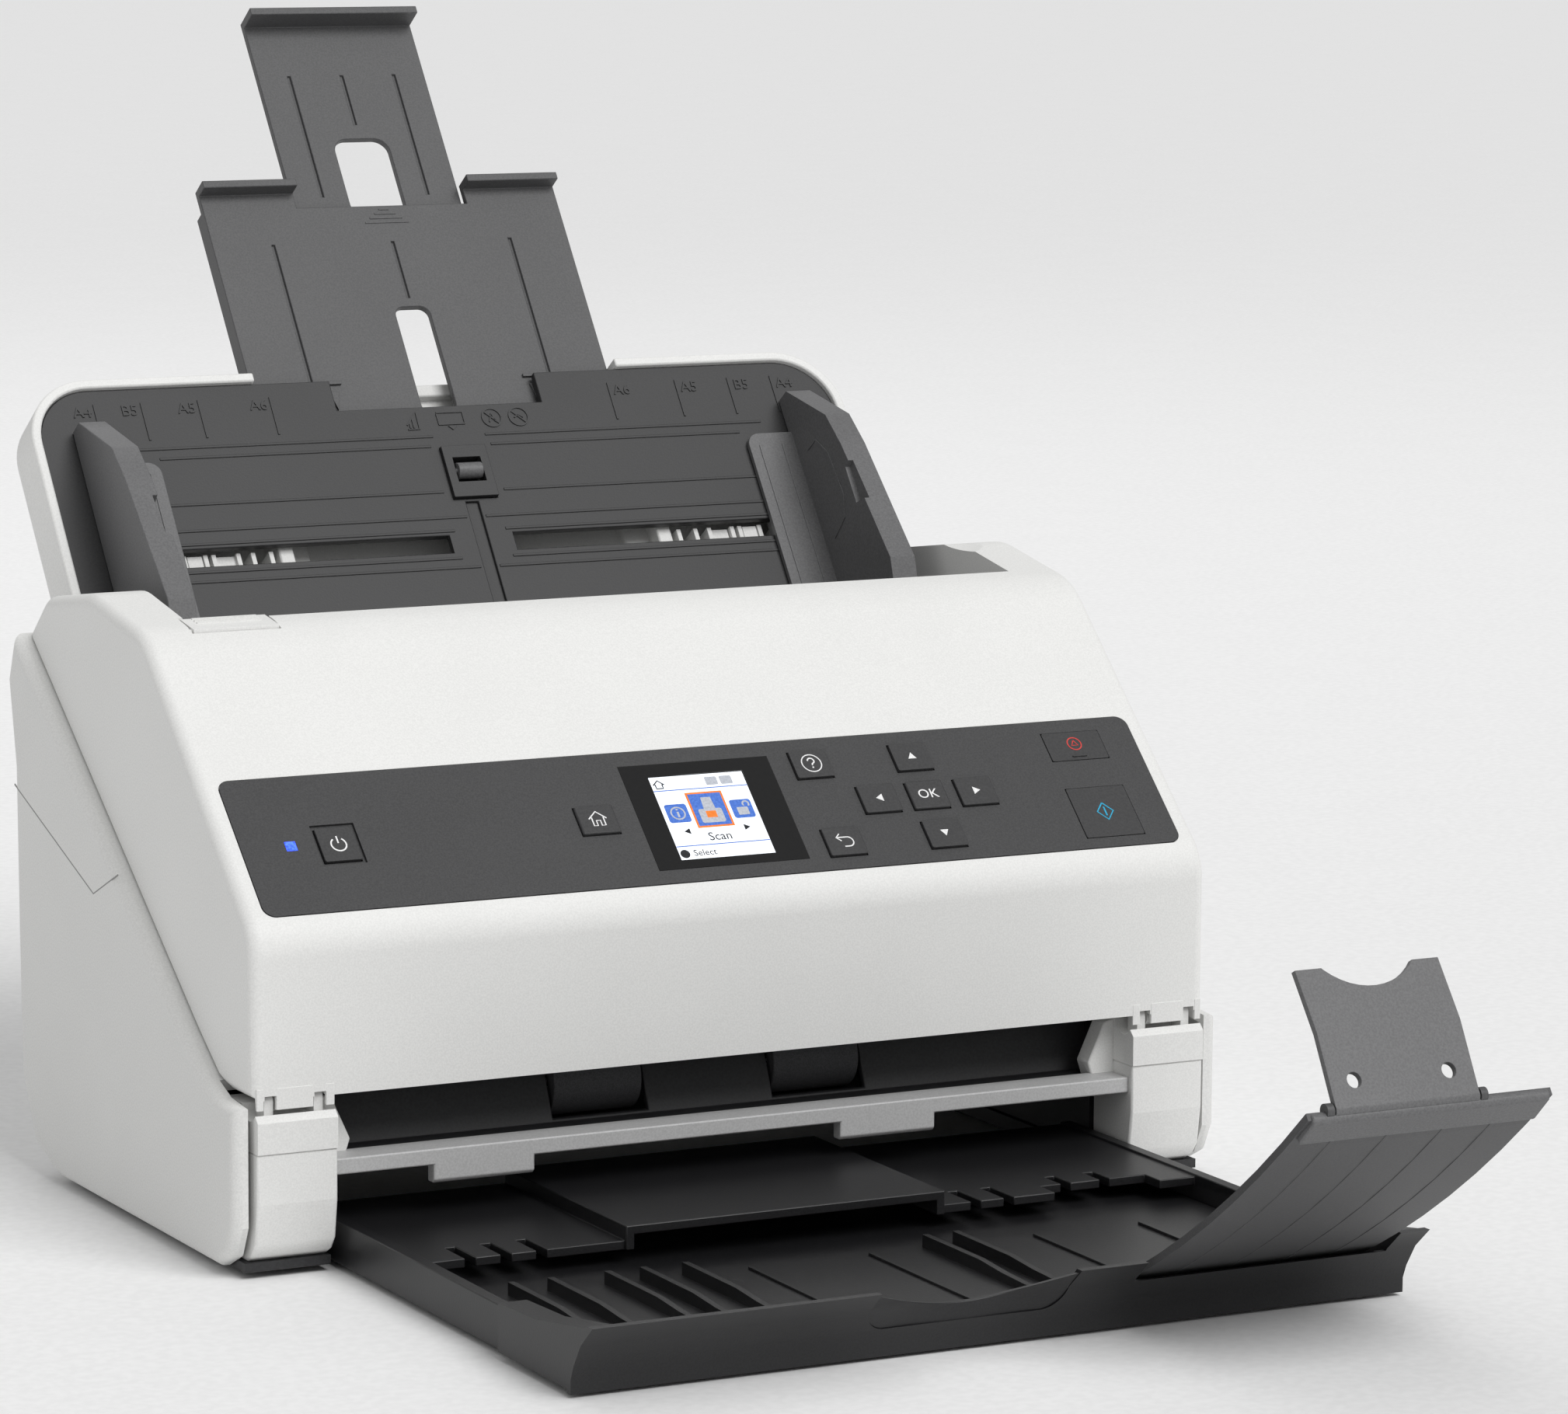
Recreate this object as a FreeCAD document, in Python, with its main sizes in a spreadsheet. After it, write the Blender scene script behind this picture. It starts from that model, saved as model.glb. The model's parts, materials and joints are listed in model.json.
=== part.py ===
import FreeCAD, Part
import math
import os
import Sketcher
from FreeCAD import Placement, Rotation, Vector

# Sheet fed document scanner, in millimetres.
# +X is the operator's right, +Y runs from the front of the machine to its back, +Z is up.
# The origin is on the surface the scanner stands on, below the middle of its width and depth.

doc = FreeCAD.newDocument("document_scanner")
dims = doc.addObject("Spreadsheet::Sheet", "dims")

# Driving dimensions: alias, value, meaning.
SIZES = [
    ("wall", 2.5, "wall of the moulded covers"),
    ("clearance", 0.6, "gap between neighbouring covers"),
    ("play", 0.3, "gap round a sliding piece"),
    ("running_fit", 0.05, "radial play of a shaft in its bore"),
    ("front_y", -30.93, "front cover's face from the middle of the whole machine's depth"),
    ("body_width", 295, "over the two side covers"),
    ("side_cover_depth", 24.5, "a side cover, measured across the machine"),
    ("rear_face", 157, "back face of the body"),
    ("rear_bulge", 6, "how far the body's back swells below its top"),
    ("pan_bottom", 1.5, "underside of the base above the table"),
    ("floor_thickness", 2.5, "floor of the base"),
    ("pan_width", 286, "base floor across the machine"),
    ("frame_half", 122, "outer face of the frame's side walls from the middle"),
    ("frame_wall", 3, "frame's side walls"),
    ("deck_bottom", 26, "underside of the deck over the output tray"),
    ("deck_thickness", 2, "deck over the output tray"),
    ("cover_width", 285, "front cover"),
    ("cover_bottom", 47.3, "lower edge of the front cover"),
    ("crest", 74, "depth of the cover's top edge"),
    ("cheek_top", 165.5, "height of the cover's end cheeks"),
    ("cheek_depth", 158, "rear corner of the cheeks"),
    ("cheek_rear", 150, "height of the cheeks' rear corner"),
    ("knee_depth", 36, "knee of the parting line, depth"),
    ("knee_height", 60.5, "knee of the parting line, height"),
    ("hopper_half", 126, "half width of the paper entry between the cheeks"),
    ("throat_depth", 113, "lower end of the cover's rear wall, depth"),
    ("throat_height", 119, "lower end of the cover's rear wall, height"),
    ("cover_edge", 3.5, "rounding of the cover's side edges"),
    ("roll_radius", 15, "rounding from the cover's face to its slope"),
    ("panel_y", 4.2, "lower edge of the control panel, depth"),
    ("panel_z", 94.3, "lower edge of the control panel, height"),
    ("panel_incline", 42.8, "slope of the control panel"),
    ("panel_width", 273.5, "control panel"),
    ("panel_height", 44.7, "control panel along the slope"),
    ("panel_thickness", 1.6, "control panel"),
    ("panel_corner", 3.5, "control panel's corners"),
    ("panel_proud", 0.2, "control panel above the cover's slope"),
    ("key_width", 11.2, "small key"),
    ("key_height", 9.4, "small key along the slope"),
    ("key_proud", 0.9, "small key above the panel"),
    ("key_flange", 1.2, "key's retaining flange round its cap"),
    ("key_pitch", 15.05, "arrow keys, centre to centre across"),
    ("key_row", 13.4, "arrow keys, row to row"),
    ("arrow_x", 65.3, "middle of the arrow keys"),
    ("arrow_y", 22.2, "middle row of keys above the panel's lower edge"),
    ("side_key_x", 117.3, "stop and start keys"),
    ("screen_x", 0, "middle of the display window"),
    ("bezel_width", 45, "display window"),
    ("bezel_height", 35.5, "display window along the slope"),
    ("screen_size", 28.2, "display, square"),
    ("path_y", 26, "paper path at the exit nip, depth"),
    ("path_z", 45, "paper path at the exit nip, height"),
    ("path_incline", 37.5, "slope of the paper path"),
    ("path_gap", 0.75, "path plates from the middle of the paper path"),
    ("path_width", 224, "upper path plate"),
    ("path_length", 151, "lower path plate's upper end along the path"),
    ("plate_thickness", 2, "path plates"),
    ("tyre_radius", 9, "rubber tyres of the feed, transport and exit rollers"),
    ("tyre_bite", 0.15, "tyres short of the middle of the path"),
    ("shaft_radius", 3, "roller shafts"),
    ("tyre_offset", 33, "tyres from the middle plane"),
    ("tyre_width", 26, "tyres"),
    ("transport_at", 62, "transport roller along the path"),
    ("feed_at", 100, "feed roller along the path"),
    ("sensor_at", 36, "image sensors along the path"),
    ("sensor_length", 16, "image sensors along the path"),
    ("sensor_width", 220, "image sensors across the machine"),
    ("sensor_height", 11, "image sensor housings"),
    ("glass_thickness", 0.9, "sensor glasses"),
    ("motor_at", 75, "motor axis along the path"),
    ("motor_drop", 38, "motor axis below the path"),
    ("motor_radius", 20, "feed motor"),
    ("pulley_radius", 7, "belt pulleys"),
    ("belt_thickness", 1.3, "drive belt"),
    ("belt_width", 6, "drive belt"),
    ("belt_at", 127, "middle of the drive belt from the middle plane"),
    ("post_inner", 119, "inner faces of the front posts from the middle plane"),
    ("post_outer", 141.5, "outer faces of the front posts from the middle plane"),
    ("post_depth", 20, "front posts"),
    ("post_split", 33.4, "joint between the lower and upper post blocks"),
    ("post_top", 45.3, "top of the upper post blocks"),
    ("hinge_y", 4.3, "cover hinge, depth"),
    ("hinge_z", 46.3, "cover hinge, height"),
    ("knuckle_radius", 2.6, "cover hinge knuckles"),
    ("hinge_pin_radius", 1.2, "cover hinge pins"),
    ("bar_top", 30, "top of the exit guide bar"),
    ("bar_height", 4.3, "exit guide bar"),
    ("tab_drop", 5, "bar's stepped tabs below the bar"),
    ("tray_y", 197.6, "input tray's reference line, depth"),
    ("tray_z", 206.7, "input tray's reference line, height"),
    ("tray_incline", 53.8, "slope of the input tray"),
    ("tray_half", 128.8, "half width of the input tray's rim"),
    ("tray_top", 8, "rim above the reference line"),
    ("tray_cheek", 62, "wide part of the shell below the reference line"),
    ("tray_neck", 66, "bottom of the shell's pocket below the reference line"),
    ("tray_depth", 16, "input tray shell, front to back"),
    ("tray_rim", 2.8, "rim of the input tray shell"),
    ("tray_corner", 20, "top corners of the input tray"),
    ("plate_bottom", 83, "lower end of the paper plate"),
    ("ext_half", 57, "half width of the tray extension"),
    ("ext_front", -3.4, "tray extension's front face behind the plate's"),
    ("ext_thickness", 2.2, "tray extension"),
    ("ext_top", 73.3, "top of the extension's hooks"),
    ("sub_half", 27, "half width of the sub extension"),
    ("sub_top", 133.3, "top of the sub extension's hook"),
    ("guide_face", 108, "paper edge faces of the edge guides from the middle"),
    ("guide_wall", 8, "edge guide's wall"),
    ("guide_foot", 15, "edge guide's foot under the paper"),
    ("out_half", 118.4, "half width of the output tray extension"),
    ("rail_half", 116.6, "half width of the output tray over its rails"),
    ("out_bottom", 1.2, "underside of the output tray above the table"),
    ("out_front", -97, "front end of the output tray's rails"),
    ("out_rear", 28, "rear end of the output tray's rails"),
    ("rail_height", 11.4, "output tray's rails"),
    ("plate_front", -45, "front edge of the output tray's plate"),
    ("plateau_left", -58, "left edge of the raised middle of the plate"),
    ("plateau_right", 35.5, "right edge of the raised middle of the plate"),
    ("lip_front", -139.5, "lower front edge of the tray extension"),
    ("crown_front", -151.5, "upper front edge of the tray extension"),
    ("crown_height", 19.6, "top of the tray extension's front wall"),
    ("floor_rear", -10, "rear end of the tray extension's floor"),
    ("stopper_y", -127, "stopper hinge, depth"),
    ("stopper_z", 8.6, "stopper hinge, height"),
    ("stopper_left", 37.5, "stopper's left edge"),
    ("stopper_right", 107.5, "stopper's right edge"),
    ("stopper_length", 111, "stopper from its hinge to the sub stopper's hinge"),
    ("stopper_sag", 4, "hollow of the stopper's curve"),
    ("stopper_skin", 2, "stopper's skin"),
    ("stopper_rise", 34, "stopper's chord above the table, opened forwards"),
    ("sub_left", 45, "sub stopper's left edge"),
    ("sub_right", 86, "sub stopper's right edge"),
    ("sub_lean", 61, "sub stopper's lower half above the table"),
    ("sub_kink", 9, "bend between the sub stopper's halves"),
    ("sub_lower", 19, "sub stopper's lower half"),
    ("sub_upper", 17, "sub stopper's upper half"),
    ("sub_thickness", 1.8, "sub stopper"),
]

ALIASES = [entry[0] for entry in SIZES]
for row, (alias, number, meaning) in enumerate(SIZES, 1):
    dims.set(f"A{row}", alias)
    dims.set(f"B{row}", str(number))
    dims.set(f"C{row}", meaning)
    dims.setAlias(f"B{row}", alias)
doc.recompute()

# Frames: the pieces of a sloping unit are drawn level in its own frame (x across, y up the slope,
# z out of it) and placed as a whole. Each frame is its origin's depth and height, and its slope.
FRAMES = {
    "panel": ("panel_y", "panel_z", "panel_incline"),
    "path": ("path_y", "path_z", "path_incline"),
    "tray": ("tray_y", "tray_z", "tray_incline"),
    "stopper": ("stopper_y", "stopper_z", "180 - stopper_rise"),
    "sub_stopper": ("stopper_y - stopper_length * cos(stopper_rise)",
                    "stopper_z + stopper_length * sin(stopper_rise)", "sub_lean"),
}

NODES = []


def size(alias):
    """A driving dimension's number."""
    return float(dims.get(alias))


def bound(text):
    """An expression in aliases, written out with the sheet's name."""
    words = []
    word = ""
    for letter in str(text) + " ":
        if letter.isalnum() or letter == "_":
            word += letter
            continue
        words.append("dims." + word if word in ALIASES else word)
        words.append(letter)
        word = ""
    return "".join(words).strip()


def bind(obj, prop, text):
    obj.setExpression(prop, bound(text))


def between(low, high):
    return f"({high}) - ({low})"


def box(name, x, y, z):
    """A box from three pairs of limits."""
    obj = doc.addObject("Part::Box", name)
    for prop, axis, (low, high) in zip(("Length", "Width", "Height"), "xyz", (x, y, z)):
        bind(obj, prop, between(low, high))
        bind(obj, f"Placement.Base.{axis}", low)
    return obj


def cylinder(name, turn, place, radius, length):
    obj = doc.addObject("Part::Cylinder", name)
    obj.Placement = Placement(Vector(0, 0, 0), turn)
    for axis, text in zip("xyz", place):
        bind(obj, f"Placement.Base.{axis}", text)
    bind(obj, "Radius", radius)
    bind(obj, "Height", length)
    return obj


def rod(name, x, y, z, radius):
    """A cylinder along x between two limits."""
    turn = Rotation(Vector(0, 1, 0), 90)
    return cylinder(name, turn, (x[0], y, z), radius, between(*x))


def post(name, x, y, z, radius):
    """A cylinder along z between two limits."""
    return cylinder(name, Rotation(), (x, y, z[0]), radius, between(*z))


def slab(name, corners, x):
    """A polygon drawn in the y-z plane and padded along x. Its corners are expressions."""
    body = doc.addObject("PartDesign::Body", name)
    sketch = body.newObject("Sketcher::SketchObject", name + "_outline")
    plane = next(item for item in body.Origin.OriginFeatures if item.Role == "YZ_Plane")
    sketch.AttachmentSupport = [(plane, "")]
    sketch.MapMode = "FlatFace"
    count = len(corners)
    start = [Vector(math.cos(2 * math.pi * step / count), math.sin(2 * math.pi * step / count), 0)
             for step in range(count)]
    for step in range(count):
        sketch.addGeometry(Part.LineSegment(start[step], start[(step + 1) % count]))
    for step in range(count):
        sketch.addConstraint(Sketcher.Constraint("Coincident", step, 2, (step + 1) % count, 1))
    for step, corner in enumerate(corners):
        for kind, text, number in zip(("DistanceX", "DistanceY"), corner, start[step]):
            index = sketch.addConstraint(Sketcher.Constraint(kind, -1, 1, step, 1, number))
            sketch.setExpression(f"Constraints[{index}]", bound(text))
    pad = body.newObject("PartDesign::Pad", name + "_pad")
    pad.Profile = sketch
    bind(pad, "Length", between(*x))
    bind(body, "Placement.Base.x", x[0])
    doc.recompute()
    return body


def fuse(name, *items):
    obj = doc.addObject("Part::MultiFuse", name)
    obj.Shapes = list(items)
    return obj


def cut(name, base, *tools):
    obj = doc.addObject("Part::Cut", name)
    obj.Base = base
    obj.Tool = tools[0] if len(tools) == 1 else fuse(name + "_tools", *tools)
    return obj


def group(name, *items):
    """Separate solids of one kind, in one node."""
    obj = doc.addObject("Part::Compound", name)
    obj.Links = list(items)
    return obj


def mirrored(name, source):
    """The same piece on the other side of the middle plane."""
    obj = doc.addObject("Part::Mirroring", name)
    obj.Source = source
    obj.Normal = Vector(1, 0, 0)
    return obj


def rounded(name, base, radius, chosen):
    """A fillet of a named radius on the edges that chosen(edge) picks."""
    doc.recompute()
    obj = doc.addObject("Part::Fillet", name)
    obj.Base = base
    picked = [number for number, edge in enumerate(base.Shape.Edges, 1) if chosen(edge)]
    obj.Edges = [(number, radius, radius) for number in picked]
    return obj


def runs_along(edge, axis):
    """Whether a straight edge runs along x, y or z."""
    ends = [vertex.Point for vertex in edge.Vertexes]
    if len(ends) < 2 or not isinstance(edge.Curve, (Part.Line, Part.LineSegment)):
        return False
    direction = ends[1] - ends[0]
    others = [part for part in "xyz" if part != axis]
    return all(abs(getattr(direction, part)) < 1e-6 for part in others)


def in_frame(name, obj, frame):
    """A piece or tool drawn level, put where its frame is."""
    depth, height, slope = FRAMES[frame]
    placed = group(name, obj)
    placed.Placement = Placement(Vector(0, 0, 0), Rotation(Vector(1, 0, 0), 10))
    bind(placed, "Placement.Base.y", depth)
    bind(placed, "Placement.Base.z", height)
    bind(placed, "Placement.Rotation.Angle", slope)
    return placed


def node(name, obj, frame=None):
    """Names a finished piece, puts it in its frame, and centres the machine over the origin."""
    inner = in_frame(name + "_placed", obj, frame) if frame else obj
    whole = group(name, inner)
    bind(whole, "Placement.Base.y", "front_y")
    whole.Label = name
    NODES.append(whole)


def both_ways(text):
    """Limits from minus to plus an expression."""
    return (f"-({text})", text)


# ---------------------------------------------------------------- base

PATH_LINE = "path_z + ({y} - path_y) * tan(path_incline)"
SLOPE_LINE = "panel_z + ({y} - panel_y) * tan(panel_incline)"
ROLLER_DROP = "-(tyre_radius + tyre_bite)"
PLATE_TOP = "-path_gap"
PLATE_UNDER = "-path_gap - plate_thickness"


def path_height(depth, out):
    """Height at some depth of the line that lies a distance out of the paper path."""
    return PATH_LINE.format(y=f"({depth})") + f" + ({out}) / cos(path_incline)"


def frame_side(name, x):
    """A side wall of the frame, cut along the underside of the paper path."""
    return slab(name, [("22", "pan_bottom"), ("138", "pan_bottom"), ("149.5", "24"),
                       ("149.5", path_height("144", PLATE_UNDER)), ("144", path_height("144", PLATE_UNDER)),
                       ("22", path_height("22", PLATE_UNDER))], x)


def frame_bore(name, along, out, radius):
    """A bore across the frame at a place given along and out of the paper path."""
    depth = f"path_y + ({along}) * cos(path_incline) - ({out}) * sin(path_incline)"
    height = f"path_z + ({along}) * sin(path_incline) + ({out}) * cos(path_incline)"
    return rod(name, both_ways("frame_half + 5"), depth, height, radius)


def make_base_frame():
    inner = "frame_half - frame_wall"
    solids = [frame_side("frame_left", ("-frame_half", f"-({inner})")),
              frame_side("frame_right", (inner, "frame_half")),
              box("frame_deck", both_ways(inner), ("24", "149"),
                  ("deck_bottom", "deck_bottom + deck_thickness")),
              box("frame_back", both_ways(inner), ("146.5", "149.5"), ("deck_bottom", "100"))]
    for x in ("-60", "60"):
        solids.append(box(f"frame_boss{x}", (f"{x} - 4", f"{x} + 4"), ("149", "rear_face - wall - 0.1"),
                          ("64", "68")))
    for name, low, high in (("left", "-pan_width / 2", f"-({inner})"), ("right", inner, "pan_width / 2")):
        solids.append(box(f"sill_{name}", (low, high), ("4", "128"),
                          ("pan_bottom", "pan_bottom + floor_thickness")))
    bores = [box("runner_way", both_ways(f"{inner} + 1.7"), ("20", "139"), ("5.6", "8.4")),
             box("socket_way", ("-105", "-61"), ("146", "150"), ("43", "57")),
             frame_bore("motor_bore", "motor_at", "-motor_drop", "pulley_radius + 1")]
    for label, along in (("exit", "0"), ("transport", "transport_at"), ("feed", "feed_at")):
        bores.append(frame_bore(f"{label}_bore", along, ROLLER_DROP, "shaft_radius + running_fit"))
    node("base_frame", cut("base_body", fuse("base_shell", *solids), *bores))


def side_outline(inset):
    """Side view of a side cover, moved in by a distance all round."""
    return [(f"1.2 + {inset}", f"post_top - {inset}"), (f"1.2 + {inset}", "14"),
            (f"5 + {inset}", "6"), (f"13 + {inset}", f"pan_bottom + 0.4 + {inset}"),
            ("128", f"pan_bottom + 0.4 + {inset}"), (f"146 - {inset}", f"8 + {inset}"),
            (f"rear_face - 1.5 - {inset}", f"26 + {inset}"), (f"rear_face - {inset}", "66"),
            (f"rear_face + 1 - {inset}", "112"), (f"rear_face + rear_bulge - {inset}", "136"),
            (f"cheek_depth - {inset}", f"cheek_rear - 1 - 1.4 * {inset}"),
            (f"knee_depth + {inset}", f"knee_height - 1 - {inset}"),
            (f"22 + {inset}", f"50 - {inset}"), ("12", f"cover_bottom - 1 - {inset}")]


def make_side_covers():
    """The right side cover is a shell open towards the frame. The left one is its mirror image."""
    outer = slab("side_outer", side_outline("0"), ("body_width / 2 - side_cover_depth", "body_width / 2"))
    soft = rounded("side_soft", outer, 3.0, lambda edge: edge.BoundBox.XMin > size("body_width") / 2 - 1e-3)
    inner = slab("side_inner", side_outline("wall"),
                 ("body_width / 2 - side_cover_depth - 1", "body_width / 2 - wall"))
    notch = box("side_notch", ("0", "cover_width / 2 + 0.6"), ("-1", "post_depth + 0.6"),
                ("0", "post_top + 4"))
    belly = box("side_belly", ("0", "pan_width / 2 + 0.4"), ("0", "130"),
                ("0", "pan_bottom + floor_thickness + 0.3"))
    right = cut("side_right", soft, inner, notch, belly)
    node("right_side_cover", right)
    node("left_side_cover", mirrored("side_left", right))


def make_rear_cover():
    outline = [("145.5", "8"), ("rear_face - 1.5", "26"), ("rear_face", "66"), ("rear_face + 1", "112"),
               ("rear_face + rear_bulge", "136"), ("rear_face + rear_bulge - wall", "137"),
               ("rear_face + 1 - wall", "112.6"), ("rear_face - wall", "66"),
               ("rear_face - 1.5 - wall", "27"), ("144", "10")]
    sheet = slab("rear_sheet", outline, both_ways("body_width / 2 - side_cover_depth - clearance"))
    openings = [box("usb_way", ("-102.6", "-89.4"), ("140", "170"), ("44.4", "55.6")),
                box("power_way", ("-75.6", "-63.4"), ("140", "170"), ("44.4", "54.6"))]
    for row in range(6):
        openings.append(box(f"rear_vent_{row}", ("20", "86"), ("140", "170"),
                            (f"{52 + 6 * row}", f"{54.4 + 6 * row}")))
    node("rear_cover", cut("rear_body", sheet, *openings))


def socket(name, x, z):
    """A board-mounted socket, open at the back of the machine."""
    block = box(name + "_block", x, ("146.5", "rear_face - wall + 1"), z)
    cavity = box(name + "_cavity", (f"{x[0]} + 1.2", f"{x[1]} - 1.2"), ("149.5", "rear_face + 5"),
                 (f"{z[0]} + 1.2", f"{z[1]} - 1.2"))
    return cut(name + "_shell", block, cavity)


def make_electronics():
    board = box("board_sheet", ("-112", "-24"), ("144.9", "146.5"), ("41", "96"))
    holes = [cylinder(f"board_hole{x}_{z}", Rotation(Vector(1, 0, 0), -90), (x, "144", z), "1.6", "4")
             for x in ("-108", "-28") for z in ("45", "92")]
    node("main_board", cut("board_body", board, *holes))
    node("usb_port", socket("usb", ("-102", "-90"), ("45", "55")))
    node("dc_inlet", socket("dc", ("-75", "-64"), ("45", "54")))


def tyre_window(name, side, along, z):
    middle = f"{side} * tyre_offset"
    return box(name, (f"{middle} - tyre_width / 2 - 1", f"{middle} + tyre_width / 2 + 1"),
               (f"{along} - tyre_radius - 0.4", f"{along} + tyre_radius + 0.4"), z)


def make_path_plates():
    """The two paper guides, with windows for the tyres, the image sensors and the separation roller."""
    sensor = ("sensor_at - sensor_length / 2", "sensor_at + sensor_length / 2")
    sheet = box("lower_sheet", both_ways("frame_half"), ("5", "path_length"), (PLATE_UNDER, PLATE_TOP))
    windows = [box("lower_sensor_window", both_ways("sensor_width / 2"), sensor, ("-9", "3"))]
    for label, along in (("exit", "0"), ("transport", "transport_at"), ("feed", "feed_at")):
        for side in ("-1", "1"):
            windows.append(tyre_window(f"{label}_window{side}", side, along, ("-9", "3")))
    node("lower_path_plate", cut("lower_path_body", sheet, *windows), "path")

    sheet = box("upper_sheet", both_ways("path_width / 2"), ("-2", "106"),
                ("path_gap", "path_gap + plate_thickness"))
    window = box("upper_sensor_window", both_ways("sensor_width / 2"), sensor, ("-3", "9"))
    nip = box("nip_window", both_ways("48"), ("feed_at - tyre_radius - 1", "120"), ("-3", "9"))
    ears = []
    for side, x in (("left", ("-51.5", "-48.5")), ("right", ("48.5", "51.5"))):
        ears.append(box(f"ear_{side}", x, ("feed_at - 6", "feed_at + 6"), ("path_gap", "14")))
    bore = rod("ear_bore", both_ways("60"), "feed_at", "tyre_radius + 0.3", "shaft_radius + running_fit")
    node("upper_path_plate", cut("upper_path_body", fuse("upper_path_set", sheet, *ears), window, nip,
                                 bore), "path")
    roller = rod("separation_tyre", both_ways("46"), "feed_at", "tyre_radius + 0.3", "tyre_radius")
    axle = rod("separation_axle", both_ways("54"), "feed_at", "tyre_radius + 0.3", "shaft_radius")
    node("separation_roller", fuse("separation_body", roller, axle), "path")


def make_image_sensor(side, sign):
    """A contact image sensor and its glass, facing the paper from one side."""
    near = f"{sign} * (path_gap - 0.2)"
    face = f"{sign} * (path_gap - 0.2 + glass_thickness)"
    far = f"{sign} * (path_gap - 0.2 + glass_thickness + sensor_height)"
    length = ("sensor_at - sensor_length / 2", "sensor_at + sensor_length / 2")
    housing = (face, far) if sign > 0 else (far, face)
    glass = (near, face) if sign > 0 else (face, near)
    node(side + "_image_sensor", box(side + "_housing", both_ways("sensor_width / 2"), length, housing),
         "path")
    node(side + "_sensor_glass", box(side + "_glass", both_ways("sensor_width / 2 - 1"),
                                     (f"{length[0]} + 1", f"{length[1]} - 1"), glass), "path")


def make_roller(label, along):
    """A driven roller: its shaft with a belt pulley, and two rubber tyres on the shaft's thicker middle."""
    core_radius = "shaft_radius + 1.4"
    shaft = fuse(label + "_shaft_body",
                 rod(label + "_axle", ("-frame_half - 3", "belt_at + belt_width / 2 + 2"), along,
                     ROLLER_DROP, "shaft_radius"),
                 rod(label + "_wheel", ("belt_at - belt_width / 2", "belt_at + belt_width / 2"), along,
                     ROLLER_DROP,
                     "pulley_radius"),
                 rod(label + "_core", both_ways("tyre_offset + tyre_width / 2 + 3"), along, ROLLER_DROP,
                     core_radius))
    node(label + "_shaft" if label != "feed" else "feed_roller_shaft", shaft, "path")
    tyres = []
    for side in ("-1", "1"):
        span = (f"{side} * tyre_offset - tyre_width / 2", f"{side} * tyre_offset + tyre_width / 2")
        outer = rod(f"{label}_tyre{side}", span, along, ROLLER_DROP, "tyre_radius")
        tyres.append(cut(f"{label}_ring{side}", outer,
                         rod(f"{label}_hole{side}", span, along, ROLLER_DROP, core_radius)))
    node(label + "_tyres" if label != "feed" else "feed_roller_tyres", group(label + "_tyre_pair", *tyres),
         "path")


def make_drive():
    """The motor, its pulley, and the belt round the exit, feed and motor pulleys."""
    inner = "frame_half - frame_wall"
    case = rod("motor_case", ("62", inner), "motor_at", "-motor_drop", "motor_radius")
    flange = box("motor_flange", (f"{inner} - 1.6", inner), ("motor_at - 24", "motor_at + 24"),
                 ("-motor_drop - 13", "-motor_drop + 13"))
    hollow = rod("motor_bearing", ("80", "frame_half"), "motor_at", "-motor_drop",
                 "shaft_radius + running_fit")
    node("feed_motor", cut("motor_body", fuse("motor_outer", case, flange), hollow), "path")
    axle = rod("motor_axle", ("81", "belt_at"), "motor_at", "-motor_drop", "shaft_radius")
    wheel = rod("motor_wheel", ("belt_at - belt_width / 2", "belt_at + belt_width / 2"), "motor_at",
                "-motor_drop",
                "pulley_radius")
    node("motor_pulley", fuse("motor_pulley_body", axle, wheel), "path")

    slab("belt_route", [("0", ROLLER_DROP), ("feed_at", ROLLER_DROP), ("motor_at", "-motor_drop")],
         ("0", "1"))
    loops = []
    for name, out in (("belt_outer", "pulley_radius + 0.15 + belt_thickness"),
                      ("belt_inner", "pulley_radius + 0.15")):
        loop = doc.addObject("Part::Offset2D", name + "_line")
        loop.Source = doc.getObject("belt_route_outline")
        loop.Join = 0
        loop.Fill = False
        bind(loop, "Value", out)
        solid = doc.addObject("Part::Extrusion", name)
        solid.Base = loop
        solid.DirMode = "Custom"
        solid.Dir = Vector(1, 0, 0)
        solid.Solid = True
        bind(solid, "LengthFwd", "belt_width - 0.6")
        loops.append(solid)
    belt = group("belt_level", cut("belt_body", *loops))
    bind(belt, "Placement.Base.x", "belt_at - belt_width / 2 + 0.3")
    node("drive_belt", belt, "path")


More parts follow.
